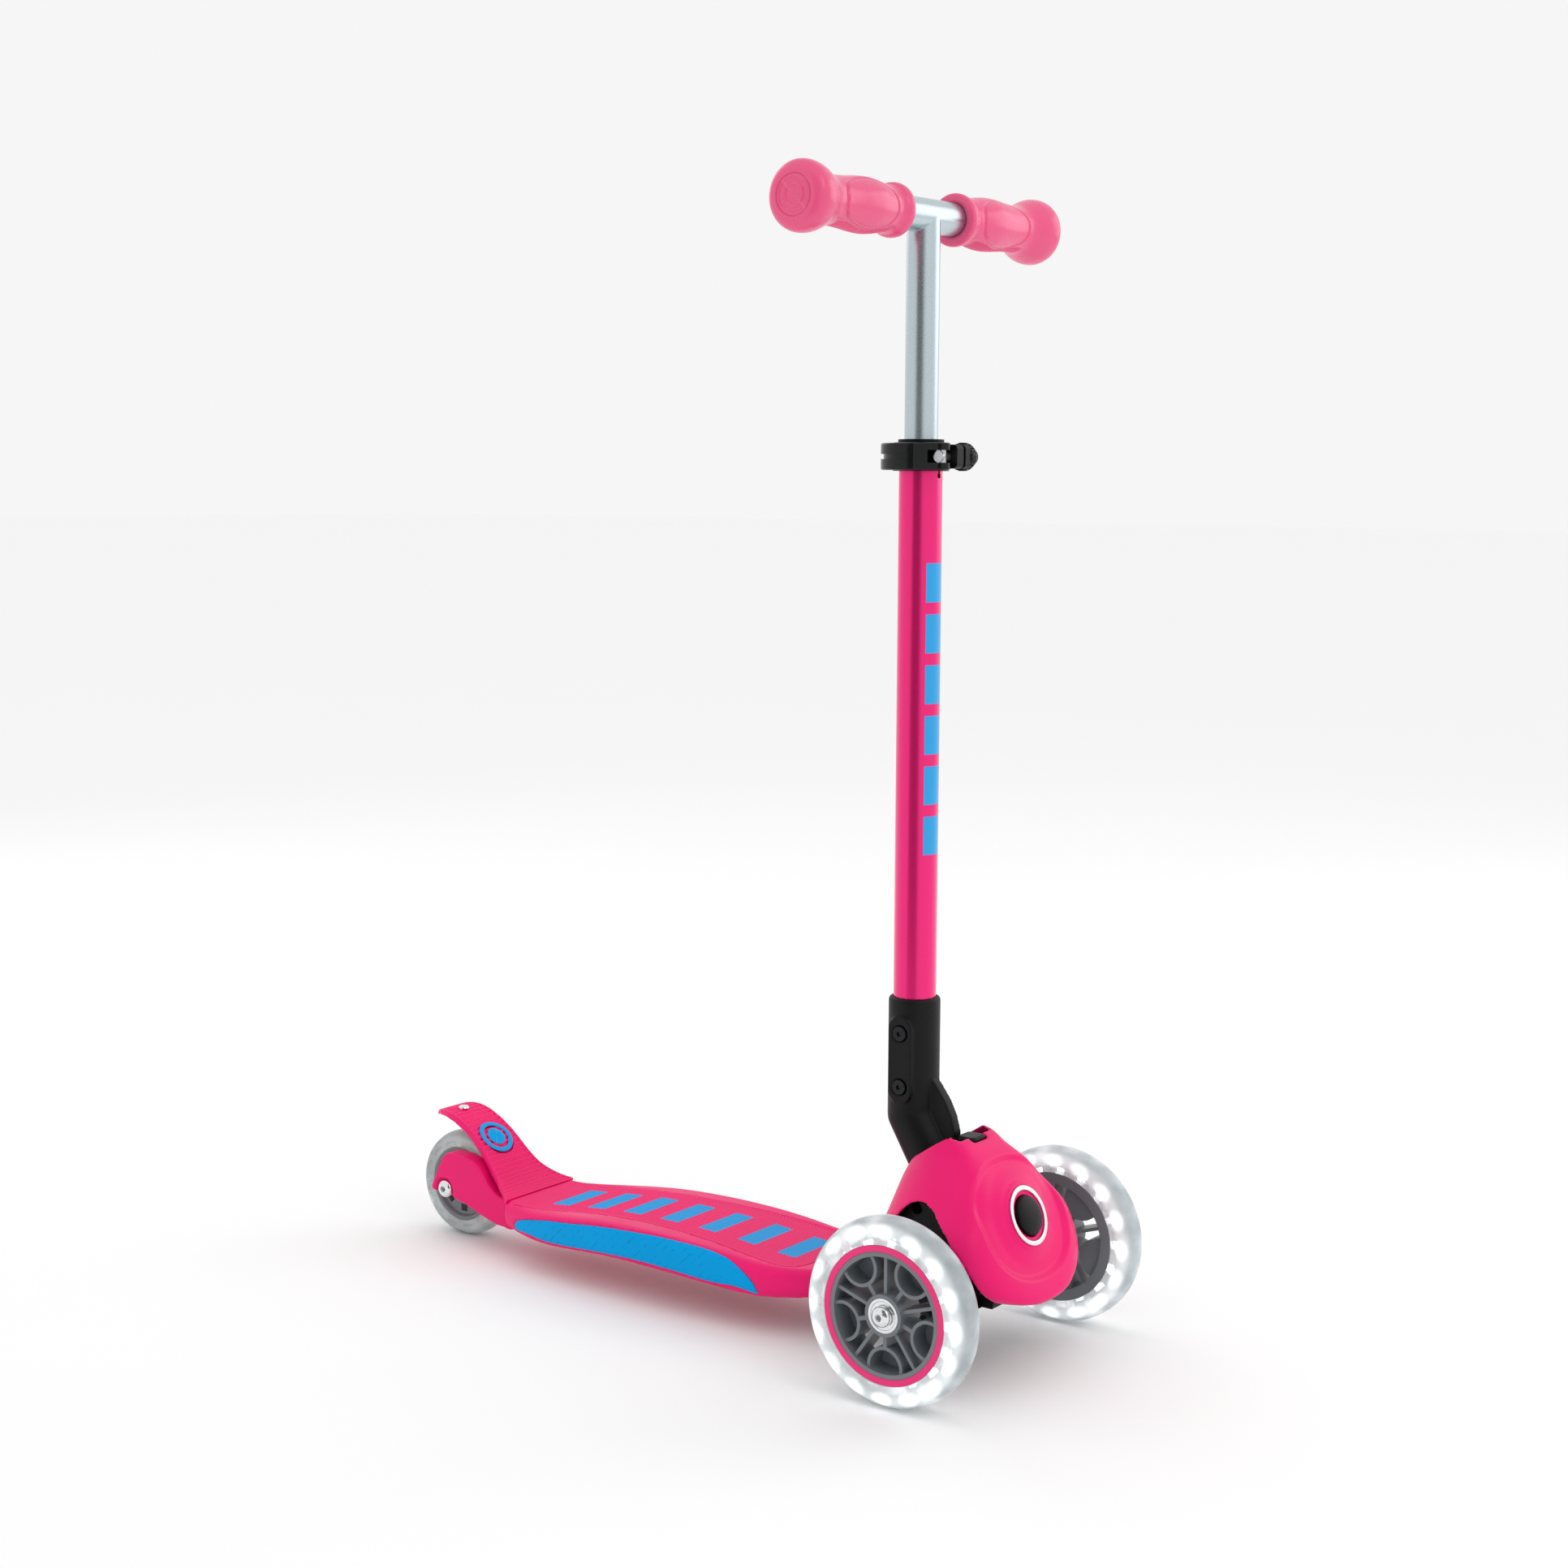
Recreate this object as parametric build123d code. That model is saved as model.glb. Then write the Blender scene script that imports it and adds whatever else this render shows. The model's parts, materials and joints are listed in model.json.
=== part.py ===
from build123d import *
import os
from math import atan2, cos, degrees, radians, sin, tan

# A child's three-wheeled kick scooter that leans to steer and folds at the foot of its stem.
# Everything is laid out from the front axle: X to the rider's left, Y backwards, Z up from the floor.
# FRONT_AXLE_Y then moves the whole scooter so that its origin is on the floor, under its middle.

# ---- driving dimensions, in mm -------------------------------------------------------------------
FRONT_R = 60.5            # front wheel radius
REAR_R = 40.0             # rear wheel radius
WHEELBASE = 457.9
FRONT_AXLE_Y = -(WHEELBASE + REAR_R - FRONT_R) / 2
TRACK_HALF = 102.4        # middle of a front tyre from the scooter's middle plane
FRONT_W = 24.0            # tyre widths
REAR_W = 22.0

HUB_HALF = 11.0           # half the width of a front hub over its faces
HUB_R = 44.3              # where the clear tyre is moulded onto the front hub
RIM_IN_R = 37.0
RING_IN_R = 40.0          # pink trim ring on the hub's outer face
BOSS_R = 13.5
BEARING_R = 11.0          # 608 bearing: 22 x 8 x 7
BEARING_W = 7.0
AXLE_R = 4.0
RUN = 0.05                # running clearance on a radius
GAP = 0.3                 # clearance between pieces that move past each other

STEM_Y = 54.1             # stem axis behind the front axle
TUBE_R = 14.0             # pink outer tube
TUBE_WALL = 1.5
TUBE_FOOT_Z = 166.0
TUBE_TOP_Z = 595.0
BAR_R = 10.75             # aluminium T-bar tube
BAR_WALL = 1.5
BAR_FOOT_Z = 400.0
BAR_Z = 737.2             # axis of the cross tube
BAR_HALF = 137.0

GRIP_IN_X = 33.0
GRIP_END_X = 139.4
GRIP_KNOB_R = 21.6

CLAMP_Z0 = 577.0
CLAMP_Z1 = 595.0
CLAMP_R = 18.0
CLAMP_BOLT_Y = STEM_Y - 25.0
CLAMP_MID_Z = (CLAMP_Z0 + CLAMP_Z1) / 2
LEVER_PIVOT_X = -15.0
LEVER_OUT_R = 25.7

BRACKET_R = 17.0
BRACKET_TOP_Z = 236.0
BEND_Z = 157.0
PIVOT_Z = 107.0           # fold hinge
LEG_LEAN = 31.0           # the bracket's lower leg leans this far forward, in degrees
PIVOT_Y = STEM_Y - (BEND_Z - PIVOT_Z) * tan(radians(LEG_LEAN))
PIVOT_R = 4.0
SLOT_HALF = 18.4          # half the slot that the bracket folds through

KINGPIN_X = 58.0
KINGPIN_R = 4.0
KINGPIN_TILT = 30.0       # the kingpins' tops lean backwards by this, so leaning the deck steers
ARM_L = 28.0              # steering arm

FACE_Y = -34.7            # middle of the front cover's sloping face
FACE_Z = 103.4
FACE_LEAN = 22.5
CHEEK_HALF = 40.0         # half width of the chassis beside the steering
BUTTON_R = 13.0

SEAM_Y = 385.0            # where the brake lever meets the deck
BRAKE_PIN_Y = 392.0
BRAKE_PIN_Z = 37.5
ARM_IN_X = 14.0           # fork arms, from their inner to their outer faces
ARM_OUT_X = 27.5
INSERT_DEPTH = 2.5

CENTRE_MIN = (Align.CENTER, Align.CENTER, Align.MIN)


# ---- helpers -------------------------------------------------------------------------------------
def rod_x(radius, x0, x1, y=0.0, z=0.0):
    """A cylinder along X from x0 to x1."""
    return Location((min(x0, x1), y, z), (0, 90, 0)) * Cylinder(radius, abs(x1 - x0), align=CENTRE_MIN)


def rod_z(radius, z0, z1, x=0.0, y=0.0):
    """A cylinder along Z from z0 to z1."""
    return Pos(x, y, z0) * Cylinder(radius, z1 - z0, align=CENTRE_MIN)


def block(x0, x1, y0, y1, z0, z1):
    """A box given by its limits."""
    middle = Pos((x0 + x1) / 2, (y0 + y1) / 2, (z0 + z1) / 2)
    return middle * Box(x1 - x0, y1 - y0, z1 - z0)


def turned_x(points):
    """A body of revolution about the X axis from (x, radius) corners."""
    return revolve(Plane.XZ * make_face(Polyline(*points, close=True)), Axis.X)


def turned_z(points):
    """A body of revolution about the Z axis from (radius, z) corners."""
    return revolve(Plane.XZ * make_face(Polyline(*points, close=True)), Axis.Z)


def side_prism(points, x0, x1, smooth=False):
    """A prism along X whose outline is given as (y, z) points."""
    edge = Spline(*points, periodic=True) if smooth else Polyline(*points, close=True)
    return Pos(x0, 0, 0) * extrude(Plane.YZ * make_face(edge), x1 - x0)


def plan_prism(points, z0, z1, smooth=False):
    """A prism along Z whose outline is given as (x, y) points."""
    edge = Spline(*points, periodic=True) if smooth else Polyline(*points, close=True)
    return Pos(0, 0, z0) * extrude(make_face(edge), z1 - z0)


def coil(radius, wire, turns, pitch):
    """A helical spring about Z that starts at z = 0."""
    path = Helix(pitch=pitch, height=pitch * turns, radius=radius)
    start = Plane(origin=path @ 0, z_dir=path % 0)
    return sweep(start * Circle(wire / 2), path=path)


def rounded(shape, edges, radius):
    """Round edges where the radius fits, or leave them sharp."""
    try:
        return fillet(edges, radius)
    except ValueError:
        return shape


def write(node, shape):
    """Write one node at its place in the finished scooter."""
    placed = Pos(0, FRONT_AXLE_Y, 0) * shape
    solids = placed.solids()
    out = solids[0] if len(solids) == 1 else Compound(children=list(solids))
    out.label = node
    export_step(out, f"parts/{node}.step")


def both_sides(shape):
    """The shape and its mirror image across the middle plane."""
    return [shape, mirror(shape, Plane.YZ)]


# ---- front wheels --------------------------------------------------------------------------------
def tyre_face(bore_r, tread_r, width, groove_r, groove_half):
    """Half-round tyre section with a groove around its bore, drawn as (x, radius)."""
    half = width / 2
    shoulder = tread_r - half * 0.62
    tread = ThreePointArc((half, shoulder), (0, tread_r), (-half, shoulder))
    side = Polyline((-half, shoulder), (-half + 1, bore_r), (-groove_half, bore_r), (-groove_half, groove_r),
                    (groove_half, groove_r), (groove_half, bore_r), (half - 1, bore_r), (half, shoulder))
    return make_face([tread, side])


def tyre(bore_r, tread_r, width, groove_r, groove_half):
    """A tyre about the X axis, with its shoulders rounded into the tread."""
    face = tyre_face(bore_r, tread_r, width, groove_r, groove_half)
    return revolve(Plane.XZ * face, Axis.X)


def bearing():
    """A shielded ball bearing from x = 0 to its width."""
    return turned_x([(0, AXLE_R + RUN), (0, 6.0), (0.5, 6.2), (0.5, 9.0), (0, 9.2), (0, BEARING_R),
                     (BEARING_W, BEARING_R), (BEARING_W, 9.2), (BEARING_W - 0.5, 9.0),
                     (BEARING_W - 0.5, 6.2), (BEARING_W, 6.0), (BEARING_W, AXLE_R + RUN)])


def front_hub():
    """Spoked hub about the origin, with its outer face towards +X."""
    cup_r, cup_at, wall = 13.2, 33.5, 2.3
    opening = Circle(RIM_IN_R + 0.5)
    webs = Sketch()
    backs = Sketch()
    for step in range(5):
        turn = -90 + 72 * step
        cup = Rot(0, 0, turn) * Pos(cup_at, 0)
        webs += (cup * (Circle(cup_r) - Circle(cup_r - wall))) & opening
        webs += Rot(0, 0, turn) * Pos((BOSS_R + cup_at - cup_r) / 2, 0) * Rectangle(8.5, wall + 0.5)
        webs += Rot(0, 0, turn + 36) * Pos((BOSS_R + RIM_IN_R) / 2, 0) * Rectangle(25.0, wall)
        backs += (cup * Circle(cup_r - wall / 2)) & opening
    outer_half, inner_half = HUB_HALF - 2.5, HUB_HALF - 3.5
    hub = rod_x(HUB_R, -HUB_HALF, HUB_HALF - 1.6) - rod_x(RIM_IN_R, -HUB_HALF, HUB_HALF)
    hub += rod_x(RING_IN_R, HUB_HALF - 1.7, HUB_HALF - 0.4) - rod_x(RIM_IN_R, -HUB_HALF, HUB_HALF)
    hub += rod_x(BOSS_R, -HUB_HALF, HUB_HALF)
    hub += Pos(-inner_half, 0, 0) * extrude(Plane.YZ * webs, inner_half + outer_half)
    hub += Pos(-inner_half, 0, 0) * extrude(Plane.YZ * backs, 2.0)
    return hub - rod_x(BEARING_R, -HUB_HALF - 1, HUB_HALF + 1)


def led_ring():
    """Sixteen small lights around the hub, inside the tyre's groove."""
    light = Pos(0, 0, HUB_R + 1.2) * Box(4.4, 5.0, 2.4)
    return [Rot(22.5 * step, 0, 0) * light for step in range(16)]


def axle_bolt(length):
    """Domed socket bolt about X: its seat at x = 0, its shank towards -X."""
    head = turned_x([(0, 0), (0, 6.8), (1.6, 6.8), (2.9, 6.2), (3.9, 4.9), (4.4, 3.3), (4.5, 0)])
    socket = Pos(1.8, 0, 0) * extrude(Plane.YZ * RegularPolygon(2.3, 6, major_radius=False), 4)
    return head - socket + rod_x(AXLE_R, -length, 0)


def front_wheel(name, side):
    """One front wheel, its bearings and lights, on the side given by the sign of side."""
    place = Pos(side * TRACK_HALF, 0, FRONT_R)
    if side < 0:
        place = place * Rot(0, 0, 180)
    groove_half = 3.4
    write(f"{name}_tyre", place * tyre(HUB_R, FRONT_R, FRONT_W, HUB_R + 3.2, groove_half))
    write(f"{name}_hub", place * front_hub())
    ring = rod_x(HUB_R, HUB_HALF - 1.6, HUB_HALF) - rod_x(RING_IN_R, HUB_HALF - 2, HUB_HALF + 1)
    write(f"{name}_rim_ring", place * ring)
    write(f"{name}_leds", Compound(children=[place * light for light in led_ring()]))
    coil_half = HUB_HALF - BEARING_W
    write(f"{name}_coil", place * (rod_x(BEARING_R, -coil_half, coil_half) - rod_x(7.6, -9, 9)))
    pair = [place * Pos(HUB_HALF - BEARING_W, 0, 0) * bearing(), place * Pos(-HUB_HALF, 0, 0) * bearing()]
    write(f"{name}_bearings", Compound(children=pair))
    sleeve = rod_x(7.0, -coil_half + GAP, coil_half - GAP) - rod_x(AXLE_R, -9, 9)
    write(f"{name}_magnet_sleeve", place * sleeve)
    write(f"{name}_axle_bolt", place * Pos(HUB_HALF + GAP, 0, 0) * axle_bolt(48.0))


# ---- steering ------------------------------------------------------------------------------------
def on_kingpin(side):
    """The frame of one kingpin: its axis is local Z, and local Y runs backwards."""
    return Location((side * KINGPIN_X, 0, FRONT_R), (-KINGPIN_TILT, 0, 0))


EYE_LOW, EYE_HIGH = -13.0, 8.0
LUG_LOW, LUG_HIGH = -21.0, 24.0
SPRING_LOW = 8.8
ROD_TOP = EYE_LOW - GAP
ROD_H = 6.0


def knuckle(side):
    """Steering knuckle: an eye on the kingpin, a stub for the wheel and an arm for the tie rod."""
    frame = on_kingpin(side)
    eye = rod_z(10.0, EYE_LOW, EYE_HIGH)
    arm = block(-5, 5, 0, ARM_L, EYE_LOW, EYE_LOW + 6) + rod_z(6.5, EYE_LOW, EYE_LOW + 6, 0, ARM_L)
    stud = rod_z(3.0, ROD_TOP - ROD_H - 1.2, EYE_LOW + 3, 0, ARM_L)
    stud += rod_z(4.6, ROD_TOP - ROD_H - 2.0, ROD_TOP - ROD_H - GAP, 0, ARM_L)
    inner_face = TRACK_HALF - HUB_HALF
    stub_start = KINGPIN_X + 7.5
    stub = rod_x(9.5, stub_start, inner_face - 3.5, 0, FRONT_R)
    stub += rod_x(6.4, stub_start, inner_face - GAP, 0, FRONT_R)
    if side < 0:
        stub = mirror(stub, Plane.YZ)
    bolt_end = TRACK_HALF + HUB_HALF + GAP - 48.0
    bolt_hole = rod_x(AXLE_R, side * bolt_end, side * 120, 0, FRONT_R)
    shape = frame * (eye + arm) + stub - bolt_hole
    shape = shape - frame * rod_z(KINGPIN_R + RUN, -40, 40)
    return shape + frame * stud


def tie_rod():
    """The rod that makes both knuckles turn together; its left eye has extra play."""
    low = ROD_TOP - ROD_H
    bar = block(-KINGPIN_X, KINGPIN_X, ARM_L - 4, ARM_L + 4, low, ROD_TOP)
    for side, hole in ((-1, 3.0 + RUN), (1, 3.0 + GAP)):
        bar += rod_z(6.5, low, ROD_TOP, side * KINGPIN_X, ARM_L)
        bar -= rod_z(hole, low - 1, ROD_TOP + 1, side * KINGPIN_X, ARM_L)
    return Location((0, 0, FRONT_R), (-KINGPIN_TILT, 0, 0)) * bar


def steering():
    """Knuckles, kingpins, centring springs and tie rod."""
    pins, springs = [], []
    for name, side in (("right", -1), ("left", 1)):
        write(f"{name}_knuckle", knuckle(side))
        pin = rod_z(KINGPIN_R, LUG_LOW - 1, LUG_HIGH) + rod_z(6.0, LUG_HIGH, LUG_HIGH + 3)
        pins.append(on_kingpin(side) * pin)
        springs.append(on_kingpin(side) * Pos(0, 0, SPRING_LOW + 0.7) * coil(6.4, 1.2, 4, 1.45))
    write("kingpins", Compound(children=pins))
    write("centring_springs", Compound(children=springs))
    write("tie_rod", tie_rod())


# ---- chassis and front cover ---------------------------------------------------------------------
def face_frame():
    """The frame of the cover's sloping face: local Z points out of it, forwards and up."""
    return Plane(origin=(0, FACE_Y, FACE_Z), x_dir=(1, 0, 0),
                 z_dir=(0, -cos(radians(FACE_LEAN)), sin(radians(FACE_LEAN)))).location


def fold_slot():
    """The space that the stem bracket sweeps as the stem folds back."""
    front = PIVOT_Y - BRACKET_R - 0.6
    swept = side_prism([(front, 175), (front, PIVOT_Z), (PIVOT_Y - 8, 90), (PIVOT_Y, 86.5), (44, 71),
                        (60, 61), (118, 58), (118, 175)], -SLOT_HALF, SLOT_HALF)
    return swept + rod_x(BRACKET_R + 0.6, -SLOT_HALF, SLOT_HALF, PIVOT_Y, PIVOT_Z)


def tab_well():
    """The well that the fold button slides in."""
    return block(-8.5, 8.5, 1.5, 16.5, 127.5, 175) + block(-5.5, 5.5, 2.5, 8.5, 112, 175)


def cover_slice(z, front, middle, back, half):
    """One level outline of the cover: nearly square in front of its widest place, oval behind it."""
    boxy, oval = 0.95, 0.58
    shoulder = middle - (middle - front) * boxy
    quarter = middle + (back - middle) * oval
    outline = [Bezier((0, front), (half * boxy, front), (half, shoulder), (half, middle)),
               Bezier((half, middle), (half, quarter), (half * oval, back), (0, back)),
               Bezier((0, back), (-half * oval, back), (-half, quarter), (-half, middle)),
               Bezier((-half, middle), (-half, shoulder), (-half * boxy, front), (0, front))]
    return Pos(0, 0, z) * make_face(outline)


# height, front edge, widest place, back edge and half width of the cover's levels
COVER_LEVELS = [(50, -50.5, 5, 96, 16), (52, -53.2, 5, 93, 25), (56, -54.2, 5, 86, 41),
                (61.5, -52.0, 5, 79, 54), (70.8, -48.2, 4, 71, 64), (86, -41.9, 4, 64, 67),
                (100, -36.1, 5, 58, 63), (111, -31.6, 8, 55, 53), (124.7, -25.4, 9, 51, 41),
                (137, -12.0, 12, 45, 31), (143, -4.0, 15, 42, 27), (151, 10.0, 22, 37, 22.5)]
COVER_WALL = 3.0


def cover_inside(wall):
    """The space inside the cover, open below and above."""
    slices = [cover_slice(48, -46, 5, 92, 12)]
    for z, front, middle, back, half in COVER_LEVELS[:-1]:
        lift = wall if z < 65 else 0.0
        slices.append(cover_slice(z + lift, front + wall, middle, back - wall, half - wall))
    z, front, middle, back, half = COVER_LEVELS[-1]
    slices.append(cover_slice(z + 1, front + wall, middle, back - wall, half - wall))
    return loft(slices)


def chassis():
    """Black moulding under the cover: it holds the kingpins, the fold hinge and the deck's front."""
    side_view = [(-26, 47), (-30, 60), (-22, 96), (-8, 116), (46, 104), (56, 86), (70, 66), (88, 54),
                 (96.5, 49.5), (96.5, 42.4), (122, 42.4), (122, 30), (96, 30), (62, 40), (30, 47)]
    top_view = [(-8, 110), (-4, 118), (6, 134), (20, 136), (34, 124), (46, 104)]
    cheek_view = [(-27, 47), (-31, 62), (-26, 84), (-14, 104), (-6, 114), (26, 114), (36, 98), (44, 74),
                  (46, 47)]
    body = side_prism(side_view, -28, 28) + side_prism(top_view, -23, 23)
    body += side_prism(cheek_view, -CHEEK_HALF, CHEEK_HALF) & cover_inside(COVER_WALL + GAP)
    body -= fold_slot() + tab_well()
    for side in (-1, 1):
        frame = on_kingpin(side)
        reach = -side * 34
        low, high = min(0, reach), max(0, reach)
        for z0, z1 in ((LUG_LOW, EYE_LOW - GAP), (SPRING_LOW + 7.4, LUG_HIGH)):
            body += frame * (rod_z(9.0, z0, z1) + block(low, high, -9, 9, z0, z1))
        body -= frame * rod_z(KINGPIN_R, -40, 40)
    body += face_frame() * rod_z(17.0, -24, -4.4)
    body -= face_frame() * (rod_z(BUTTON_R + 0.6, -16.5, 5) + rod_z(5.0 + RUN, -30, 0))
    body -= rod_x(PIVOT_R, -40, 40, PIVOT_Y, PIVOT_Z)
    rod_path = Location((0, 0, FRONT_R), (-KINGPIN_TILT, 0, 0))
    body -= rod_path * block(-90, 90, ARM_L - 8, ARM_L + 7, -40, ROD_TOP + 1.5)
    for x, y in DECK_SCREWS:
        body -= rod_z(2.2, 20, 60, x, y) + rod_z(4.6, 20, 33, x, y)
    return body


def front_cover():
    """Pink shell over the steering, open below, at the sides for the knuckles and at the back."""
    shell = loft([cover_slice(*level) for level in COVER_LEVELS]) - cover_inside(COVER_WALL)
    arch = [(-37, 40), (-36.5, 62), (-34, 71), (-29.8, 79.5), (-25.5, 86.1), (-19.2, 92.6), (-12.4, 99.8),
            (-3.4, 105.8), (0.8, 108.7), (4.9, 111.9), (11.1, 114.3), (17.4, 114.6), (23.1, 112.6),
            (27.1, 109.5), (30, 106), (36, 97), (42, 86), (47, 74), (50, 60), (51, 40)]
    shell -= side_prism(arch, 22, 80) + side_prism(arch, -80, -22)
    shell -= block(-23, 23, -36, 51, 40, 64)
    shell -= fold_slot() + tab_well()
    shell -= side_prism([(-5, 163), (60, 121), (60, 190), (-5, 190)], -60, 60)
    shell += face_frame() * rod_z(20.6, -COVER_WALL, 0)
    shell -= face_frame() * rod_z(20.6, 0, 8)
    return shell - face_frame() * rod_z(BUTTON_R + 0.4, -12, 12)


def front_end():
    """Chassis, cover, emblem, buttons and their springs."""
    cover = front_cover()
    write("chassis", chassis() - cover)
    write("front_cover", cover)
    ring = rod_z(19.5, 0, 1.3) - rod_z(16.5, -1, 5)
    write("emblem_ring", face_frame() * ring)
    cap = turned_z([(0, -10), (5, -10), (5, -8), (BUTTON_R, -8), (BUTTON_R, 1.2), (12.2, 2.5), (10.2, 3.4),
                    (7, 4.1), (3.5, 4.5), (0, 4.6)])
    write("lock_button", face_frame() * (cap + rod_z(5.0, -22, -9)))
    write("lock_button_spring", face_frame() * Pos(0, 0, -15.8) * coil(7.2, 1.1, 1.2, 1.6))
    tab = block(-8, 8, 2.0, 15.8, 132, 149.5)
    tab = fillet(tab.edges().filter_by(Axis.Z), 3.5)
    tab = fillet(tab.faces().sort_by(Axis.Z)[-1].edges(), 1.6)
    write("fold_button", tab + block(-5, 5, 3, 8, 120, 133))
    write("fold_button_spring", Pos(0, 5.0, 112.6) * coil(1.9, 0.8, 1.6, 1.2))
    write("fold_hinge_pin", rod_x(PIVOT_R, -28, 28, PIVOT_Y, PIVOT_Z))


# ---- stem ----------------------------------------------------------------------------------------
def stem_bracket():
    """Black bracket: a sleeve for the tube, a leg that leans forward and the hinge barrel."""
    bend = Pos(0, STEM_Y, BEND_Z)
    body = rod_z(BRACKET_R, BEND_Z, BRACKET_TOP_Z, 0, STEM_Y)
    body = fillet(body.faces().sort_by(Axis.Z)[-1].edges(), 2.5)
    body += bend * Sphere(BRACKET_R)
    leg_length = (BEND_Z - PIVOT_Z) / cos(radians(LEG_LEAN))
    leg_frame = Location((0, STEM_Y, BEND_Z), (180 - LEG_LEAN, 0, 0))
    body += leg_frame * Cylinder(BRACKET_R, leg_length, align=CENTRE_MIN)
    body += rod_x(BRACKET_R, -BRACKET_R, BRACKET_R, PIVOT_Y, PIVOT_Z)
    fin = side_prism([(40, 186), (34.5, 179.6), (27.2, 169.9), (22, 159.8), (19.3, 150.5), (18, 140),
                      (18, 118), (40, 118)], -4, 4)
    body += fin
    pad = Location((0, STEM_Y, 195.5), (0, -90, 0)) * extrude(SlotOverall(58, 18.4), BRACKET_R + 0.6)
    body += pad
    body -= rod_z(TUBE_R, TUBE_FOOT_Z, BRACKET_TOP_Z + 1, 0, STEM_Y)
    body -= rod_x(PIVOT_R + RUN, -30, 30, PIVOT_Y, PIVOT_Z)
    for z in SCREW_Z:
        body -= rod_x(6.1, -30, -(BRACKET_R - 0.6), STEM_Y, z) + rod_x(2.5, -20, -12, STEM_Y, z)
    return body


SCREW_Z = (213.0, 177.5)
DECK_SCREWS = [(-20, 108), (20, 108), (-20, 118), (20, 118)]


def bracket_screws():
    """The two socket screws that hold the tube in the bracket."""
    screws = []
    for z in SCREW_Z:
        seat = -(BRACKET_R - 0.6)
        head = rod_x(5.0, seat, seat - 1.9, STEM_Y, z)
        head = fillet(head.faces().sort_by(Axis.X)[0].edges(), 0.7)
        hexagon = Plane.YZ * RegularPolygon(1.6, 6, major_radius=False)
        head -= Pos(seat - 3, STEM_Y, z) * extrude(hexagon, 2.4)
        screws.append(head + rod_x(2.5, seat, -12.0, STEM_Y, z))
    return Compound(children=screws)


def outer_tube():
    """Pink tube with a clamping slit at its top front."""
    tube = rod_z(TUBE_R, TUBE_FOOT_Z, TUBE_TOP_Z, 0, STEM_Y)
    tube -= rod_z(TUBE_R - TUBE_WALL, TUBE_FOOT_Z - 1, TUBE_TOP_Z + 1, 0, STEM_Y)
    tube -= block(-1.0, 1.0, STEM_Y - 20, STEM_Y - 8, 574, TUBE_TOP_Z + 1)
    keyhole = Location((0, STEM_Y - 20, 574), (-90, 0, 0)) * Cylinder(1.8, 12, align=CENTRE_MIN)
    tube -= keyhole
    for z in SCREW_Z:
        tube -= rod_x(2.5, -20, -12, STEM_Y, z)
    return tube


def clamp_band():
    """Split clamp around the tube's top, with two ears in front for the bolt."""
    band = rod_z(CLAMP_R, CLAMP_Z0, CLAMP_Z1, 0, STEM_Y)
    ear_end = CLAMP_BOLT_Y - 8.0
    ears = block(-8.6, 7.0, ear_end, STEM_Y - 8, CLAMP_Z0 + 1.5, CLAMP_Z1 - 1.5)
    ears = fillet(ears.edges().filter_by(Axis.X), 3.0)
    band = band + ears
    band = fillet(band.faces().sort_by(Axis.Z)[-1].outer_wire().edges(), 1.0)
    band -= rod_z(TUBE_R, CLAMP_Z0 - 1, CLAMP_Z1 + 1, 0, STEM_Y)
    band -= block(-1.2, 1.2, ear_end - 1, STEM_Y - 8, CLAMP_Z0 - 1, CLAMP_Z1 + 1)
    return band - rod_x(3.0, -30, 30, CLAMP_BOLT_Y, CLAMP_MID_Z)


def clamp_lever():
    """Quick-release lever: a fork with cam lobes, and a handle that hugs the clamp."""
    pivot = Pos(LEVER_PIVOT_X, CLAMP_BOLT_Y, 0)
    lobe_r = 6.0
    hub = pivot * rod_z(lobe_r, CLAMP_Z0 + 0.4, CLAMP_Z1 - 0.4)
    ring = rod_z(LEVER_OUT_R, CLAMP_Z0 + 0.4, CLAMP_Z1 - 0.4, 0, STEM_Y)
    ring -= rod_z(CLAMP_R + 1.4, CLAMP_Z0 - 1, CLAMP_Z1 + 1, 0, STEM_Y)
    keep = plan_prism([(-40, 34), (LEVER_PIVOT_X - 6.0, 27), (LEVER_PIVOT_X, 33), (-10, 44), (-9, 90),
                       (-40, 90)], CLAMP_Z0, CLAMP_Z1)
    handle = ring & keep
    neck = plan_prism([(LEVER_PIVOT_X - 6.0, CLAMP_BOLT_Y), (LEVER_PIVOT_X + 2, CLAMP_BOLT_Y + 5.6),
                       (-16, 43), (-24, 46)], CLAMP_Z0 + 0.4, CLAMP_Z1 - 0.4)
    lever = hub + handle + neck
    lever = rounded(lever, lever.faces().sort_by(Axis.Z)[-1].edges(), 1.4)
    lever = rounded(lever, lever.faces().sort_by(Axis.Z)[0].edges(), 1.4)
    slot = block(LEVER_PIVOT_X - 7, LEVER_PIVOT_X + 9, CLAMP_BOLT_Y - 9, CLAMP_BOLT_Y + 6.5,
                 CLAMP_MID_Z - 4.0, CLAMP_MID_Z + 4.0)
    groove = rod_z(LEVER_OUT_R + 2, CLAMP_MID_Z - 1.6, CLAMP_MID_Z + 1.6, 0, STEM_Y)
    groove -= rod_z(LEVER_OUT_R - 1.8, CLAMP_MID_Z - 3, CLAMP_MID_Z + 3, 0, STEM_Y)
    lever -= slot + (groove & block(-40, 0, STEM_Y - 6, 90, CLAMP_Z0, CLAMP_Z1))
    return lever - pivot * rod_z(3.5 + RUN, CLAMP_Z0 - 1, CLAMP_Z1 + 1)


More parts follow.
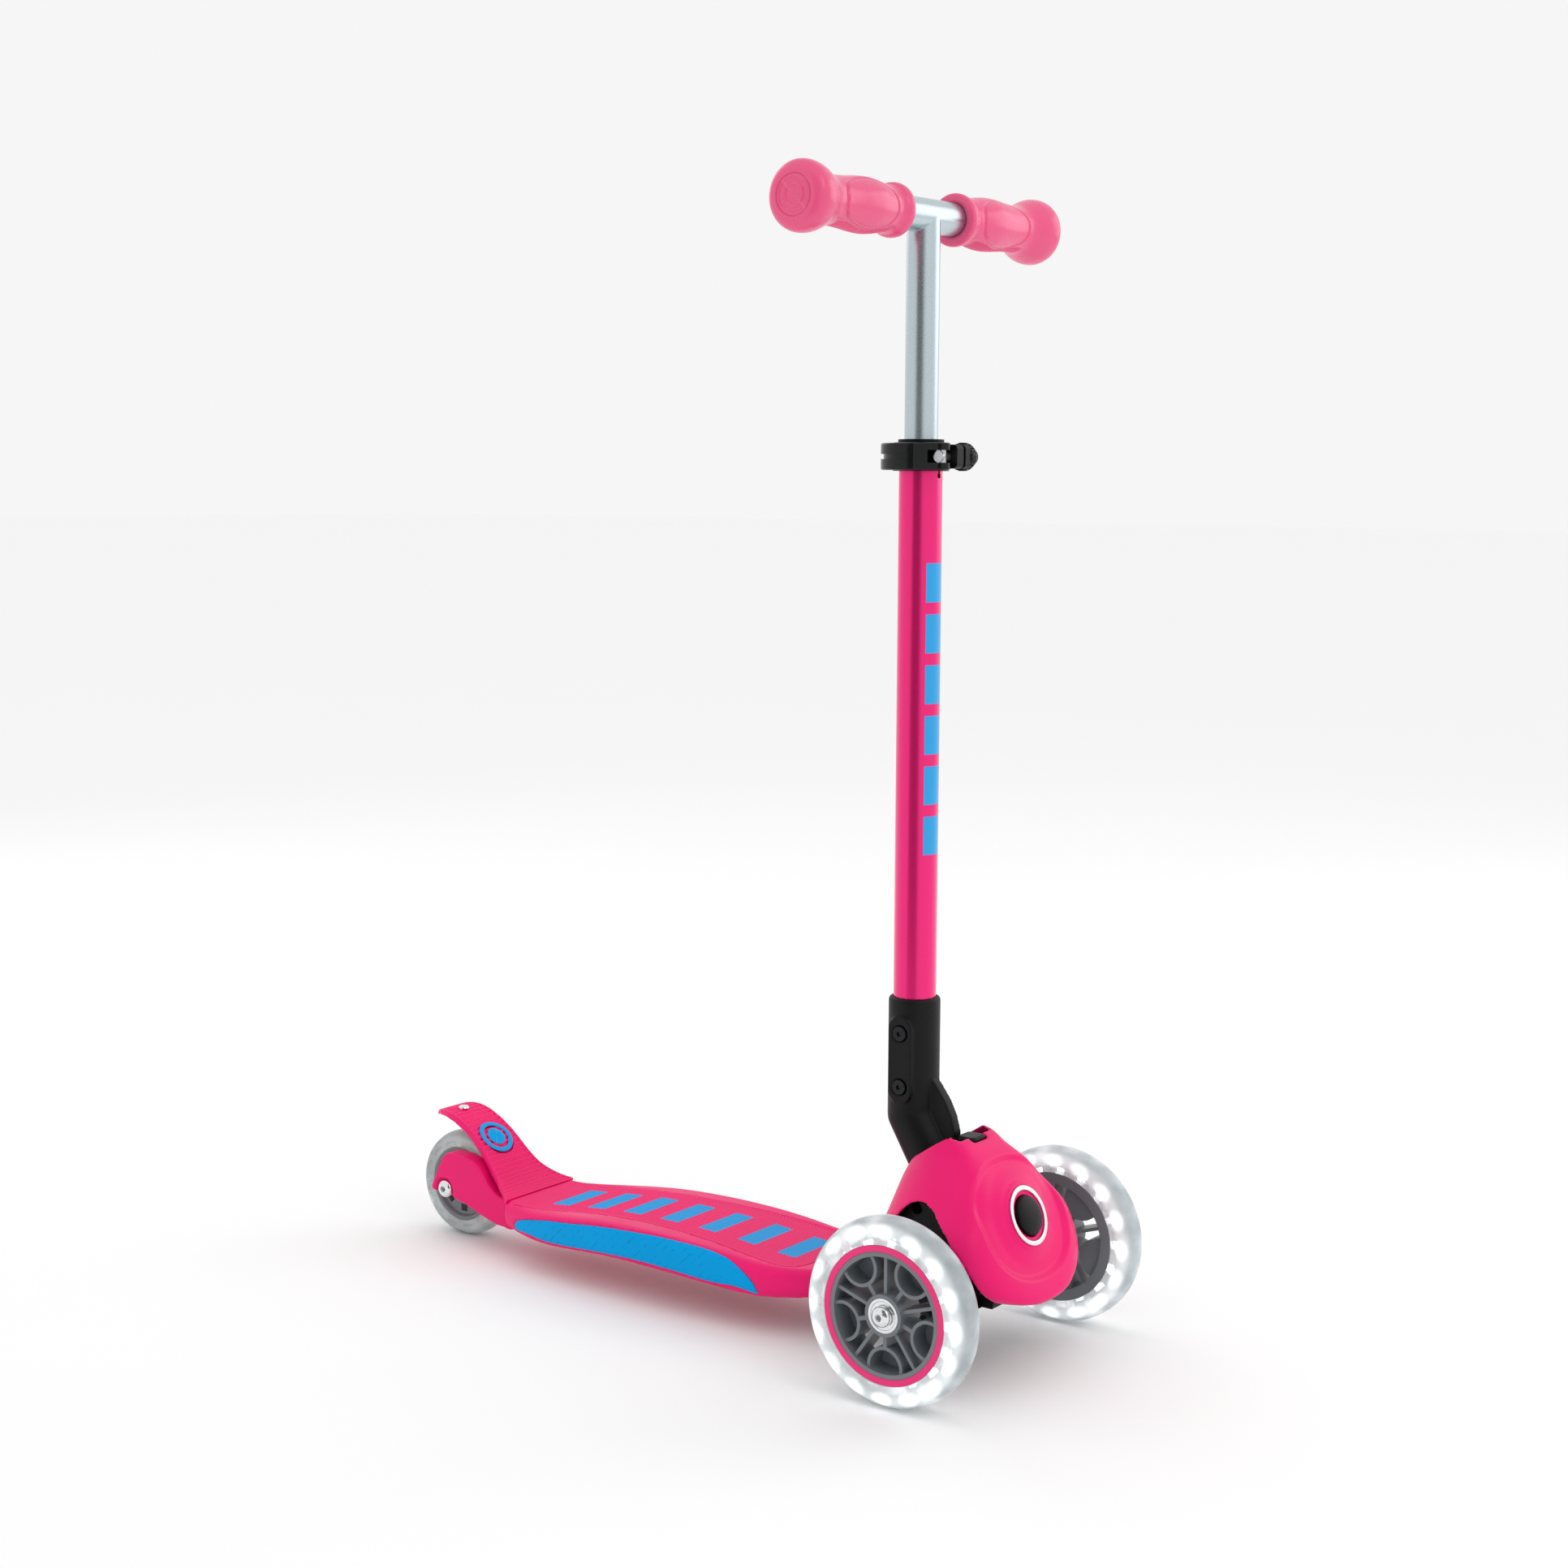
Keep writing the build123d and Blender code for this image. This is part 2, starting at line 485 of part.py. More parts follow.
def clamp_bolt():
    """Clamp bolt along X with a cross barrel that the lever turns on."""
    shaft = rod_x(3.0, LEVER_PIVOT_X, 19.0, CLAMP_BOLT_Y, CLAMP_MID_Z)
    barrel = rod_z(3.5, CLAMP_Z0 + 1.2, CLAMP_Z1 - 1.2, LEVER_PIVOT_X, CLAMP_BOLT_Y)
    collar = rod_x(3.6, LEVER_PIVOT_X - 3.4, LEVER_PIVOT_X, CLAMP_BOLT_Y, CLAMP_MID_Z)
    return shaft + barrel + collar


def clamp_nut():
    """Knurled cone nut that sets the clamp's bite."""
    shape = turned_x([(7.4, 3.0 + RUN), (7.4, 8.0), (8.2, 9.0), (12.5, 9.0), (17.5, 6.6), (20.6, 5.2),
                      (21.2, 4.4), (21.2, 3.0 + RUN)])
    for step in range(20):
        shape -= Rot(18 * step, 0, 0) * Pos(13, 0, 9.2) * Box(12, 0.9, 1.5)
    return Pos(0, CLAMP_BOLT_Y, CLAMP_MID_Z) * shape


def t_bar():
    """T of two aluminium tubes, welded."""
    upright = rod_z(BAR_R, BAR_FOOT_Z, BAR_Z, 0, STEM_Y)
    cross = rod_x(BAR_R, -BAR_HALF, BAR_HALF, STEM_Y, BAR_Z)
    bores = rod_z(BAR_R - BAR_WALL, BAR_FOOT_Z - 1, BAR_Z, 0, STEM_Y)
    bores += rod_x(BAR_R - BAR_WALL, -BAR_HALF - 1, BAR_HALF + 1, STEM_Y, BAR_Z)
    return upright + cross - bores


def grip():
    """Left grip: a flange by the stem, a waisted body and a broad end knob."""
    length = GRIP_END_X - GRIP_IN_X
    stations = [(0, 15.8), (2.2, 17.2), (4.6, 16.6), (9, 14.2), (20, 15.4), (38, 16.6), (55, 16.0),
                (70, 15.4), (80, 16.2), (86, 18.6), (92, 21.0), (97, GRIP_KNOB_R), (101.5, 20.9),
                (104.6, 18.2), (length, 14.0)]
    outline = Spline(*[(GRIP_IN_X + x, r) for x, r in stations])
    start, end = outline @ 0, outline @ 1
    closing = Polyline((start.X, start.Y), (GRIP_IN_X, 0), (GRIP_END_X, 0), (end.X, end.Y))
    body = revolve(Plane.XZ * make_face([outline, closing]), Axis.X)
    return Pos(0, STEM_Y, BAR_Z) * (body - rod_x(BAR_R, 0, BAR_HALF))


def stem():
    """Bracket, tube, clamp and T-bar."""
    write("stem_bracket", stem_bracket())
    write("bracket_screws", bracket_screws())
    write("outer_tube", outer_tube())
    inside = TUBE_R - TUBE_WALL
    bushing = rod_z(inside, 556, TUBE_TOP_Z, 0, STEM_Y) + rod_z(14.75, TUBE_TOP_Z, TUBE_TOP_Z + 2, 0, STEM_Y)
    write("tube_bushing", bushing - rod_z(BAR_R + RUN, 550, 600, 0, STEM_Y))
    write("clamp_band", clamp_band())
    write("clamp_bolt", clamp_bolt())
    write("clamp_lever", clamp_lever())
    write("clamp_nut", clamp_nut())
    write("t_bar", t_bar())
    plug = rod_z(BAR_R - BAR_WALL, BAR_FOOT_Z, BAR_FOOT_Z + 14, 0, STEM_Y)
    plug += rod_z(inside - 2 * RUN, BAR_FOOT_Z - 8, BAR_FOOT_Z, 0, STEM_Y)
    write("t_bar_glide", plug)
    for name, shape in zip(("grip_left", "grip_right"), both_sides(grip())):
        write(name, shape)


# ---- deck ----------------------------------------------------------------------------------------
# distance behind the front axle, half width, top and bottom of the deck's sections
DECK_SECTIONS = [(98, 36, 49, 30), (112, 44, 48.5, 28.5), (128, 50.5, 48.6, 27), (150, 54.2, 49.6, 25.6),
                 (180, 55.8, 52.2, 26.2), (215, 56, 54, 27.2), (250, 55.6, 54.2, 28), (285, 54.6, 53, 27.4),
                 (320, 52.2, 49.9, 24.6), (350, 48.6, 46.6, 23.4), (372, 43.6, 45.2, 24.6),
                 (SEAM_Y, 39.5, 46, 26.4)]


def deck_loft(side=0.0, top=0.0, bottom=0.0, first=0, last=None, radius=8.0):
    """The deck's solid form, with its sides, top and bottom moved in by the given amounts."""
    faces = []
    for y, half, high, low in DECK_SECTIONS[first:last]:
        half, high, low = half - side, high - top, low + bottom
        face = RectangleRounded(2 * half, high - low, min(radius, (high - low) / 2 - 0.2))
        faces.append(Plane.XZ.offset(-y) * Pos(0, (high + low) / 2) * face)
    return loft(faces)


def pad_outline():
    """Plan of the ribbed pad."""
    right = [(0, 118), (30, 118.5), (39, 122), (43, 132), (41.8, 155), (39.9, 181), (37.3, 216),
             (35.8, 252), (35.2, 288), (37, 322), (38.4, 340), (37.6, 362), (36, 380), (30, 382), (0, 382)]
    return right + [(-x, y) for x, y in reversed(right[1:-1])]


def insert_outline():
    """Side view of a blue side insert: blunt in front and pointed behind."""
    return [(143, 30.2), (145.5, 35), (151, 40.5), (163, 47.2), (178, 50.6), (206, 52.4), (232, 52.4),
            (258, 51.4), (293, 48.6), (313, 46.0), (336, 43.2), (359, 38.8), (371, 32.5), (371.5, 31.0),
            (359, 29), (347, 28.4), (325, 28.2), (298, 30), (258, 32.4), (206, 31.6), (173, 30.8),
            (150, 29.8)]


def fork_arm():
    """Left arm that holds the rear axle, seen from the side."""
    outline = [(372, 26), (391, 20.4), (407, 22.2), (422, 26.6), (435, 31.4), (449, 34.4), (458, 35),
               (466, 36), (471.6, 38.4), (471.2, 41), (468, 47), (464, 56.1), (460.5, 63), (456.4, 67.6),
               (451.5, 69.2), (445.9, 69), (437, 68.4), (429, 66.2), (423, 62.2), (418, 56.9), (413.6, 51),
               (408, 46.4), (401.9, 43.6), (392.6, 42), (372, 42)]
    arm = side_prism(outline, ARM_IN_X, ARM_OUT_X)
    recess = rod_x(8.4, ARM_OUT_X - 3.0, ARM_OUT_X + 1, WHEELBASE, REAR_R)
    recess += block(ARM_OUT_X - 3.0, ARM_OUT_X + 1, WHEELBASE - 8.4, WHEELBASE + 8.4, 30, REAR_R)
    return arm - recess


def deck():
    """Deck shell with its fork arms, the pad and the side inserts."""
    form = deck_loft()
    hollow = deck_loft(side=6.2, top=5.4, bottom=-12, radius=4.0)
    insert_cut = deck_loft(side=INSERT_DEPTH)
    pad_cut = deck_loft(top=2.2, radius=6.0)
    bands = side_prism(insert_outline(), 36, 60, smooth=True)
    bands += side_prism(insert_outline(), -60, -36, smooth=True)
    inserts = (form - insert_cut) & bands
    pad = (form - pad_cut) & plan_prism(pad_outline(), 40, 60)
    shell = form - (hollow & block(-60, 60, 90, 376, 0, 60))
    ribs = block(-1.2, 1.2, 130, 380, 28, 52)
    for x in (-17, 17):
        ribs += block(x - 1, x + 1, 130, 380, 30, 52)
    for y in range(150, 370, 36):
        ribs += block(-52, 52, y - 1, y + 1, 32, 52)
    shell += ribs & deck_loft(side=4, top=4, bottom=1.0)
    for arm in both_sides(fork_arm()):
        shell += arm
    shell -= inserts
    shell -= pad
    shell -= rod_x(2.5, -33, 33, BRAKE_PIN_Y, BRAKE_PIN_Z)
    shell -= rod_x(AXLE_R, -40, 40, WHEELBASE, REAR_R)
    for x, y in DECK_SCREWS:
        shell -= rod_z(1.8, 30, 46, x, y)
    return shell, pad, inserts


def write_deck():
    """Deck shell, pad, inserts and the deck's screws."""
    shell, pad, inserts = deck()
    write("deck_shell", shell)
    write("deck_pad", pad)
    sides = sorted(inserts.solids(), key=lambda solid: solid.center().X)
    write("side_insert_right", sides[0])
    write("side_insert_left", sides[-1])
    screws = []
    for x, y in DECK_SCREWS:
        screws.append(rod_z(4.4, 30.2, 33, x, y) + rod_z(1.8, 33, 45, x, y))
    write("deck_screws", Compound(children=screws))


# ---- rear wheel and brake ------------------------------------------------------------------------
def rear_hub():
    """Plain disc hub with small slots."""
    body = turned_x([(-10, BEARING_R), (-10, 13.5), (-6, 14.5), (-6, 24), (-9, 25.5), (-9.5, 28), (9.5, 28),
                     (9, 25.5), (6, 24), (6, 14.5), (10, 13.5), (10, BEARING_R)])
    for step in range(8):
        body -= Rot(45 * step, 0, 0) * Pos(0, 0, 19.5) * Box(30, 6, 5)
    return body


def brake_spine():
    """Middle line of the brake's top, from the seam up over the wheel, as (y, z)."""
    return [(SEAM_Y + GAP, 46.8), (396, 51.4), (407, 58.2), (418, 68.4), (428, 78.4), (440, 87.4), (452, 93.6),
            (463, 96.6), (473, 96.4), (480.5, 93.6)]


BRAKE_HALF = [37.5, 30.0, 24.6, 21.6, 20.0, 19.0, 18.4, 17.4, 14.6, 9.0]
BRAKE_T = 4.6


def brake_lever():
    """Foot brake: a crowned plate that arches over the rear wheel, with hinge ears below its front."""
    spine = brake_spine()
    top = Spline(*spine)
    below = [(y + 2.6 * (0.4 if i == 0 else 1), z - BRAKE_T) for i, (y, z) in enumerate(spine)]
    under = Spline(*reversed(below))
    ends = [Line(top @ 1, under @ 0), Line(under @ 1, top @ 0)]
    side_view = extrude(Plane.YZ * make_face([top, under, *ends]), 45, both=True)
    plan = [(half, y) for (y, z), half in zip(spine, BRAKE_HALF)]
    plan[-1] = (9.0, 481.5)
    outline = [(0, SEAM_Y + GAP)] + plan + [(0, 483)]
    outline += [(-x, y) for x, y in reversed(plan)]
    plate = side_view & plan_prism(outline, 20, 120)
    ears = rod_x(4.8, -12, 12, BRAKE_PIN_Y, BRAKE_PIN_Z)
    ears += block(-12, 12, BRAKE_PIN_Y - 4, BRAKE_PIN_Y + 4.8, BRAKE_PIN_Z, 46)
    plate += ears - rod_x(6.0, -5, 5, BRAKE_PIN_Y, BRAKE_PIN_Z)
    return plate - rod_x(2.5 + RUN, -20, 20, BRAKE_PIN_Y, BRAKE_PIN_Z)


def brake_badge():
    """Plain blue disc with one ring around it, let into the brake's top."""
    (y0, z0), (y1, z1) = brake_spine()[3], brake_spine()[5]
    tilt = degrees(atan2(z1 - z0, y1 - y0))
    frame = Location((0, (y0 + y1) / 2, (z0 + z1) / 2), (tilt, 0, 0))
    disc = rod_z(7.5, -2.0, 0.4) + (rod_z(14.0, -2.0, 0.4) - rod_z(10.5, -3, 1))
    return frame * disc


def rear_end():
    """Rear wheel, its axle, and the brake."""
    place = Pos(0, WHEELBASE, REAR_R)
    write("rear_tyre", place * tyre(28.0, REAR_R, REAR_W, 29.2, 4.0))
    write("rear_hub", place * rear_hub())
    pair = [place * Pos(3, 0, 0) * bearing(), place * Pos(-10, 0, 0) * bearing()]
    write("rear_bearings", Compound(children=pair))
    write("rear_spacer", place * (rod_x(6.5, -3, 3) - rod_x(AXLE_R + RUN, -9, 9)))
    seat = ARM_OUT_X - 3.0
    write("rear_axle_bolt", place * mirror(Pos(seat, 0, 0) * axle_bolt(2 * seat + 4), Plane.YZ))
    nut = extrude(Plane.YZ * RegularPolygon(6.2, 6, major_radius=False), 4.6) - rod_x(AXLE_R, -9, 9)
    write("rear_axle_nut", place * Pos(seat, 0, 0) * nut)
    write("brake_hinge_pin", rod_x(2.5, -ARM_OUT_X, ARM_OUT_X, BRAKE_PIN_Y, BRAKE_PIN_Z))
    spring = Location((-3.6, BRAKE_PIN_Y, BRAKE_PIN_Z), (0, 90, 0)) * coil(4.2, 1.1, 4, 1.5)
    write("brake_spring", spring)
    rivet = Pos(0, 463, 96.4) * turned_z([(0, -6), (2.0, -6), (2.0, 0), (4.2, 0), (3.4, 1.3), (0, 1.8)])
    lever = brake_lever()
    write("brake_rivet", rivet)
    badge = brake_badge()
    write("brake_badge", badge)
    write("brake_lever", lever - rivet - badge)


def main():
    os.makedirs("parts", exist_ok=True)
    front_wheel("right", -1)
    front_wheel("left", 1)
    steering()
    front_end()
    stem()
    write_deck()
    rear_end()


main()
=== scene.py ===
import json
import math

import bmesh
import bpy
import numpy as np
from mathutils import Matrix, Vector
from mathutils.bvhtree import BVHTree


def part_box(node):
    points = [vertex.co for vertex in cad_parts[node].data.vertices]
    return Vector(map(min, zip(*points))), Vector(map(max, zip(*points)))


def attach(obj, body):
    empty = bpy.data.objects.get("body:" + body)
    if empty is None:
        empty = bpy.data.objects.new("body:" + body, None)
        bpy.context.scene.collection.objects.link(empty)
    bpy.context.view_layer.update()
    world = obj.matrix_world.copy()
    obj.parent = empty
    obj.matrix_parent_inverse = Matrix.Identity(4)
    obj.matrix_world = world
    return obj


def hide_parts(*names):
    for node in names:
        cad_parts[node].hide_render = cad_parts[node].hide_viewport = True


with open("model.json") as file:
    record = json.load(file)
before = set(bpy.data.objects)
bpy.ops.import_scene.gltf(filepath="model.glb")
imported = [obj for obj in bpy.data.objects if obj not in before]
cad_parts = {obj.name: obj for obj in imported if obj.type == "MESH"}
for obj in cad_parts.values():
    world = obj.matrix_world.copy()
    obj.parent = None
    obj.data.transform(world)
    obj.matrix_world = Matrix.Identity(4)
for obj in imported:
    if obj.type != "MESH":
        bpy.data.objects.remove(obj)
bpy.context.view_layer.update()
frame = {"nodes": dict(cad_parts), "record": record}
NODES = frame["nodes"]
MM = 0.001
WELD = 1e-6               # points closer than this, in metres, are the same point

# ---- places, all worked out from the CAD frame ---------------------------------------------------
TYRE_LOW, TYRE_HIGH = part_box("left_tyre")
AXLE_Y = (TYRE_HIGH.y + TYRE_LOW.y) / 2


def middle(node):
    low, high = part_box(node)
    return (low + high) / 2


def at(x, y, z):
    """A point given in mm from the floor under the middle of the front axle, in the shared frame."""
    return Vector((x * MM, AXLE_Y + y * MM, z * MM))


# ---- node materials ------------------------------------------------------------------------------
class Finish:
    """A node material: a Principled shader with short calls for the nodes that feed it."""

    def __init__(self, name, **sockets):
        self.material = bpy.data.materials.new(name)
        self.material.use_nodes = True
        self.tree = self.material.node_tree
        self.shader = self.tree.nodes["Principled BSDF"]
        for socket, value in sockets.items():
            self.shader.inputs[socket.replace("_", " ")].default_value = value
        self.place = self.add("ShaderNodeTexCoord").outputs["Object"]

    def add(self, kind, **settings):
        node = self.tree.nodes.new(kind)
        for key, value in settings.items():
            setattr(node, key, value)
        return node

    def feed(self, socket, value):
        if isinstance(value, bpy.types.NodeSocket):
            self.tree.links.new(value, socket)
        elif value is not None:
            socket.default_value = value

    def math(self, operation, a, b=None):
        node = self.add("ShaderNodeMath", operation=operation)
        for socket, value in zip(node.inputs, (a, b)):
            self.feed(socket, value)
        return node.outputs[0]

    def axes(self):
        node = self.add("ShaderNodeSeparateXYZ")
        self.feed(node.inputs[0], self.place)
        return node.outputs[0], node.outputs[1], node.outputs[2]

    def noise(self, scale, detail=3.0, stretch=(1, 1, 1)):
        """Noise with features of about 1/scale metres, drawn out along an axis by stretch."""
        mapping = self.add("ShaderNodeMapping")
        self.feed(mapping.inputs["Vector"], self.place)
        mapping.inputs["Scale"].default_value = stretch
        node = self.add("ShaderNodeTexNoise")
        self.feed(node.inputs["Vector"], mapping.outputs[0])
        node.inputs["Scale"].default_value = scale
        node.inputs["Detail"].default_value = detail
        return node.outputs["Fac"]

    def span(self, value, low, high, out_low, out_high, smooth=False):
        node = self.add("ShaderNodeMapRange")
        if smooth:
            node.interpolation_type = "SMOOTHSTEP"
        for socket, number in zip(node.inputs, (value, low, high, out_low, out_high)):
            self.feed(socket, number)
        return node.outputs[0]

    def mix(self, factor, first, second):
        node = self.add("ShaderNodeMix", data_type="RGBA")
        self.feed(node.inputs[0], factor)
        self.feed(node.inputs[6], first)
        self.feed(node.inputs[7], second)
        return node.outputs[2]

    def colour(self, value):
        self.feed(self.shader.inputs["Base Color"], value)

    def rough(self, value):
        self.feed(self.shader.inputs["Roughness"], value)

    def bump(self, height, distance, strength=1.0):
        node = self.add("ShaderNodeBump")
        node.inputs["Strength"].default_value = strength
        node.inputs["Distance"].default_value = distance
        self.feed(node.inputs["Height"], height)
        self.feed(self.shader.inputs["Normal"], node.outputs[0])


def shade(colour, factor):
    return tuple(min(1.0, c * factor) for c in colour) + (1.0,)


def srgb(red, green, blue):
    """A colour read as 0 to 255 screen values, as linear light."""
    return tuple((v / 255 / 12.92) if v < 10.3 else ((v / 255 + 0.055) / 1.055) ** 2.4
                 for v in (red, green, blue))


def moulded(name, colour, roughness, grain=0.00004, scale=1400.0, variation=0.05, **sockets):
    """Injection-moulded plastic or rubber: fine grain, slight colour drift, and a painted highlight that
    makes sharp convex edges paler.
    """
    f = Finish(name, **sockets)
    drift = f.noise(14.0, 2.0)
    body = f.mix(f.span(drift, 0.3, 0.7, 0, 1), shade(colour, 1 - variation), shade(colour, 1 + variation))
    # painted highlight: sharp convex edges, found by pointiness, are coloured paler and less saturated
    pointed = f.add("ShaderNodeNewGeometry").outputs["Pointiness"]
    painted_edge_highlight = shade([c * 0.6 + 0.4 * max(colour) for c in colour], 1.15)
    f.colour(f.mix(f.span(pointed, 0.53, 0.62, 0, 0.16), body, painted_edge_highlight))
    fine = f.noise(scale, 4.0)
    f.rough(f.math("ADD", f.span(fine, 0.3, 0.7, roughness - 0.05, roughness + 0.05),
                   f.span(f.noise(35.0), 0.35, 0.75, -0.03, 0.04)))
    f.bump(fine, grain, 0.6)
    return f


def metal(name, colour, roughness, stretch=(1, 1, 1), scale=900.0, grain=0.00002):
    """Metal with a fine drawn or bead-blasted grain."""
    f = Finish(name, Metallic=1.0)
    lines = f.noise(scale, 3.0, stretch)
    f.colour(f.mix(f.span(lines, 0.3, 0.7, 0, 1), shade(colour, 0.9), shade(colour, 1.08)))
    f.rough(f.math("ADD", f.span(lines, 0.3, 0.7, roughness - 0.06, roughness + 0.06),
                   f.span(f.noise(30.0), 0.3, 0.7, -0.02, 0.03)))
    f.bump(lines, grain, 0.5)
    return f


PINK = (0.85, 0.003, 0.155)
BLUE = (0.0, 0.335, 0.740)
LIGHTS = 16               # soft spots of light round each front tyre
LIGHT_RING = 0.0530       # their distance from the axle, in metres


def bar_mask(f, along, across, half_pitch, gap, end, side):
    """1 inside a row of plain bars; gap, end and side say where each kind of edge fades, in metres."""
    cell = f.math("PINGPONG", along, half_pitch)
    bars = f.math("MULTIPLY", f.span(f.math("ABSOLUTE", across), *side, 1, 0), f.span(cell, *gap, 0, 1))
    reach = f.math("MULTIPLY", f.span(along, 0.0, 0.0004, 0, 1), f.span(along, *end, 1, 0))
    return f.math("MULTIPLY", bars, reach)


def pad_finish():
    """Ribbed grip pad: pink with a row of plain blue bars printed down its middle."""
    f = Finish("pink_pad", Specular_IOR_Level=0.4)
    x, y, z = f.axes()
    along = f.math("SUBTRACT", y, float(AXLE_Y + 0.125))
    inside = bar_mask(f, along, x, 0.017, (0.0088, 0.0092), (0.2376, 0.238), (0.0216, 0.0220))
    drift = f.noise(20.0, 2.0)
    pink = f.mix(drift, shade(PINK, 0.94), shade(PINK, 1.05))
    blue = f.mix(drift, shade(BLUE, 0.94), shade(BLUE, 1.05))
    f.colour(f.mix(inside, pink, blue))
    fine = f.noise(1600.0, 3.0)
    f.rough(f.span(fine, 0.3, 0.7, 0.42, 0.56))
    f.bump(fine, 0.00005, 0.6)
    return f.material


def insert_finish():
    """Blue rubber with short slanted moulded strokes along its upper half, their grooves coloured darker as
    painted shade.
    """
    f = Finish("blue_rubber", Specular_IOR_Level=0.06)
    x, y, z = f.axes()
    low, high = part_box("side_insert_right")
    slant = f.math("ADD", y, f.math("MULTIPLY", z, 1.1))
    stroke = f.span(f.math("PINGPONG", slant, 0.0038), 0.0, 0.0006, 1, 0)
    broken = f.span(f.noise(240.0, 1.0), 0.5, 0.56, 0, 1)
    zone = f.span(y, float(high.y) - 0.22, float(low.y) + 0.03, 0, 1)
    strokes = f.math("MULTIPLY", f.math("MULTIPLY", stroke, broken), zone)
    drift = f.noise(18.0, 2.0)
    body = f.mix(drift, shade(BLUE, 0.93), shade(BLUE, 1.06))
    # painted shade: the moulded stroke grooves are coloured darker than the rubber around them
    f.colour(f.mix(f.math("MULTIPLY", strokes, 0.45), body, shade(BLUE, 0.55)))
    fine = f.noise(1500.0, 3.0)
    f.rough(f.span(fine, 0.3, 0.7, 0.40, 0.52))
    height = f.math("SUBTRACT", f.math("MULTIPLY", fine, 0.1), strokes)
    f.bump(height, 0.0003, 0.8)
    return f.material


def tube_finish():
    """Metallic magenta lacquer with a column of plain blue bars down the front of the tube."""
    f = Finish("pink_tube", Coat_Weight=0.6, Coat_IOR=1.6, Specular_IOR_Level=0.2)
    f.shader.inputs["Coat Roughness"].default_value = 0.24
    x, y, z = f.axes()
    low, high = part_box("outer_tube")
    foot, span = float(low.z), float(high.z - low.z)
    up = f.math("SUBTRACT", z, foot + span * 0.375)
    bars = bar_mask(f, up, x, 0.0163, (0.0036, 0.0040), (0.1952, 0.1956), (0.0086, 0.0089))
    axis_y = float((low.y + high.y) / 2)
    mask = f.math("MULTIPLY", bars, f.span(y, axis_y - 0.001, axis_y, 1, 0))
    flake = f.noise(5200.0, 2.0)
    lacquer = f.mix(f.span(flake, 0.35, 0.65, 0, 1), (0.80, 0.001, 0.165, 1), (0.94, 0.003, 0.200, 1))
    f.colour(f.mix(mask, lacquer, (*BLUE, 1)))
    f.feed(f.shader.inputs["Metallic"], f.span(mask, 0, 1, 0.8, 0.0))
    streaks = f.noise(12.0, 2.0, (1, 1, 0.1))
    f.rough(f.math("ADD", f.span(flake, 0.3, 0.7, 0.27, 0.35), f.span(streaks, 0.3, 0.7, -0.03, 0.03)))
    f.bump(flake, 0.00001, 0.4)
    return f.material


def tyre_finish(name, glow):
    """Clear cast polyurethane. Where there are lights inside, their glow spreads in sixteen soft spots."""
    f = Finish(name, IOR=1.18, Specular_IOR_Level=0.6)
    f.shader.inputs["Transmission Weight"].default_value = 0.36 if glow else 0.6
    x, y, z = f.axes()
    radius = f.math("SQRT", f.math("ADD", f.math("MULTIPLY", y, y), f.math("MULTIPLY", z, z)))
    cloudy = f.noise(46.0, 3.0)
    if glow:
        rim, rim_share, pale, dark = (0.0555, 0.0592), 0.55, (0.86, 0.89, 0.90, 1), (0.36, 0.40, 0.42, 1)
    else:
        rim, rim_share, pale, dark = (0.0345, 0.0385), 0.6, (0.66, 0.70, 0.70, 1), (0.30, 0.36, 0.36, 1)
    banded = f.math("ADD", f.span(radius, *rim, 0.0, rim_share, smooth=True),
                    f.span(cloudy, 0.35, 0.7, 0, 1 - rim_share))
    f.colour(f.mix(banded, pale, dark))
    f.rough(f.span(cloudy, 0.3, 0.7, 0.10, 0.22))
    f.bump(f.noise(300.0, 2.0), 0.0001, 0.2)
    if glow:
        normal = f.add("ShaderNodeSeparateXYZ")
        f.feed(normal.inputs[0], f.add("ShaderNodeTexCoord").outputs["Normal"])
        side = f.span(f.math("ABSOLUTE", normal.outputs[0]), 0.3, 0.7, 0, 1, smooth=True)
        turn = f.math("ADD", f.math("ARCTAN2", y, z), math.pi)
        arc = f.math("MULTIPLY", f.math("PINGPONG", turn, math.pi / LIGHTS), 0.0528)
        off = f.math("SUBTRACT", radius, LIGHT_RING)
        along_ring = f.math("MULTIPLY", f.math("MULTIPLY", arc, arc), 0.34)
        far = f.math("SQRT", f.math("ADD", along_ring, f.math("MULTIPLY", off, off)))
        core = f.span(far, 0.0002, 0.0058, 1, 0, smooth=True)
        haze = f.span(f.math("ABSOLUTE", off), 0.0, 0.0070, 0.20, 0, smooth=True)
        uneven = f.span(f.noise(90.0, 1.0), 0.3, 0.7, 0.75, 1.0)
        glowing = f.math("MULTIPLY", f.math("ADD", f.math("MULTIPLY", core, 1.1), haze), uneven)
        f.feed(f.shader.inputs["Emission Strength"], f.math("MULTIPLY", glowing, side))
        f.shader.inputs["Emission Color"].default_value = (0.95, 0.98, 1.0, 1)
    return f.material


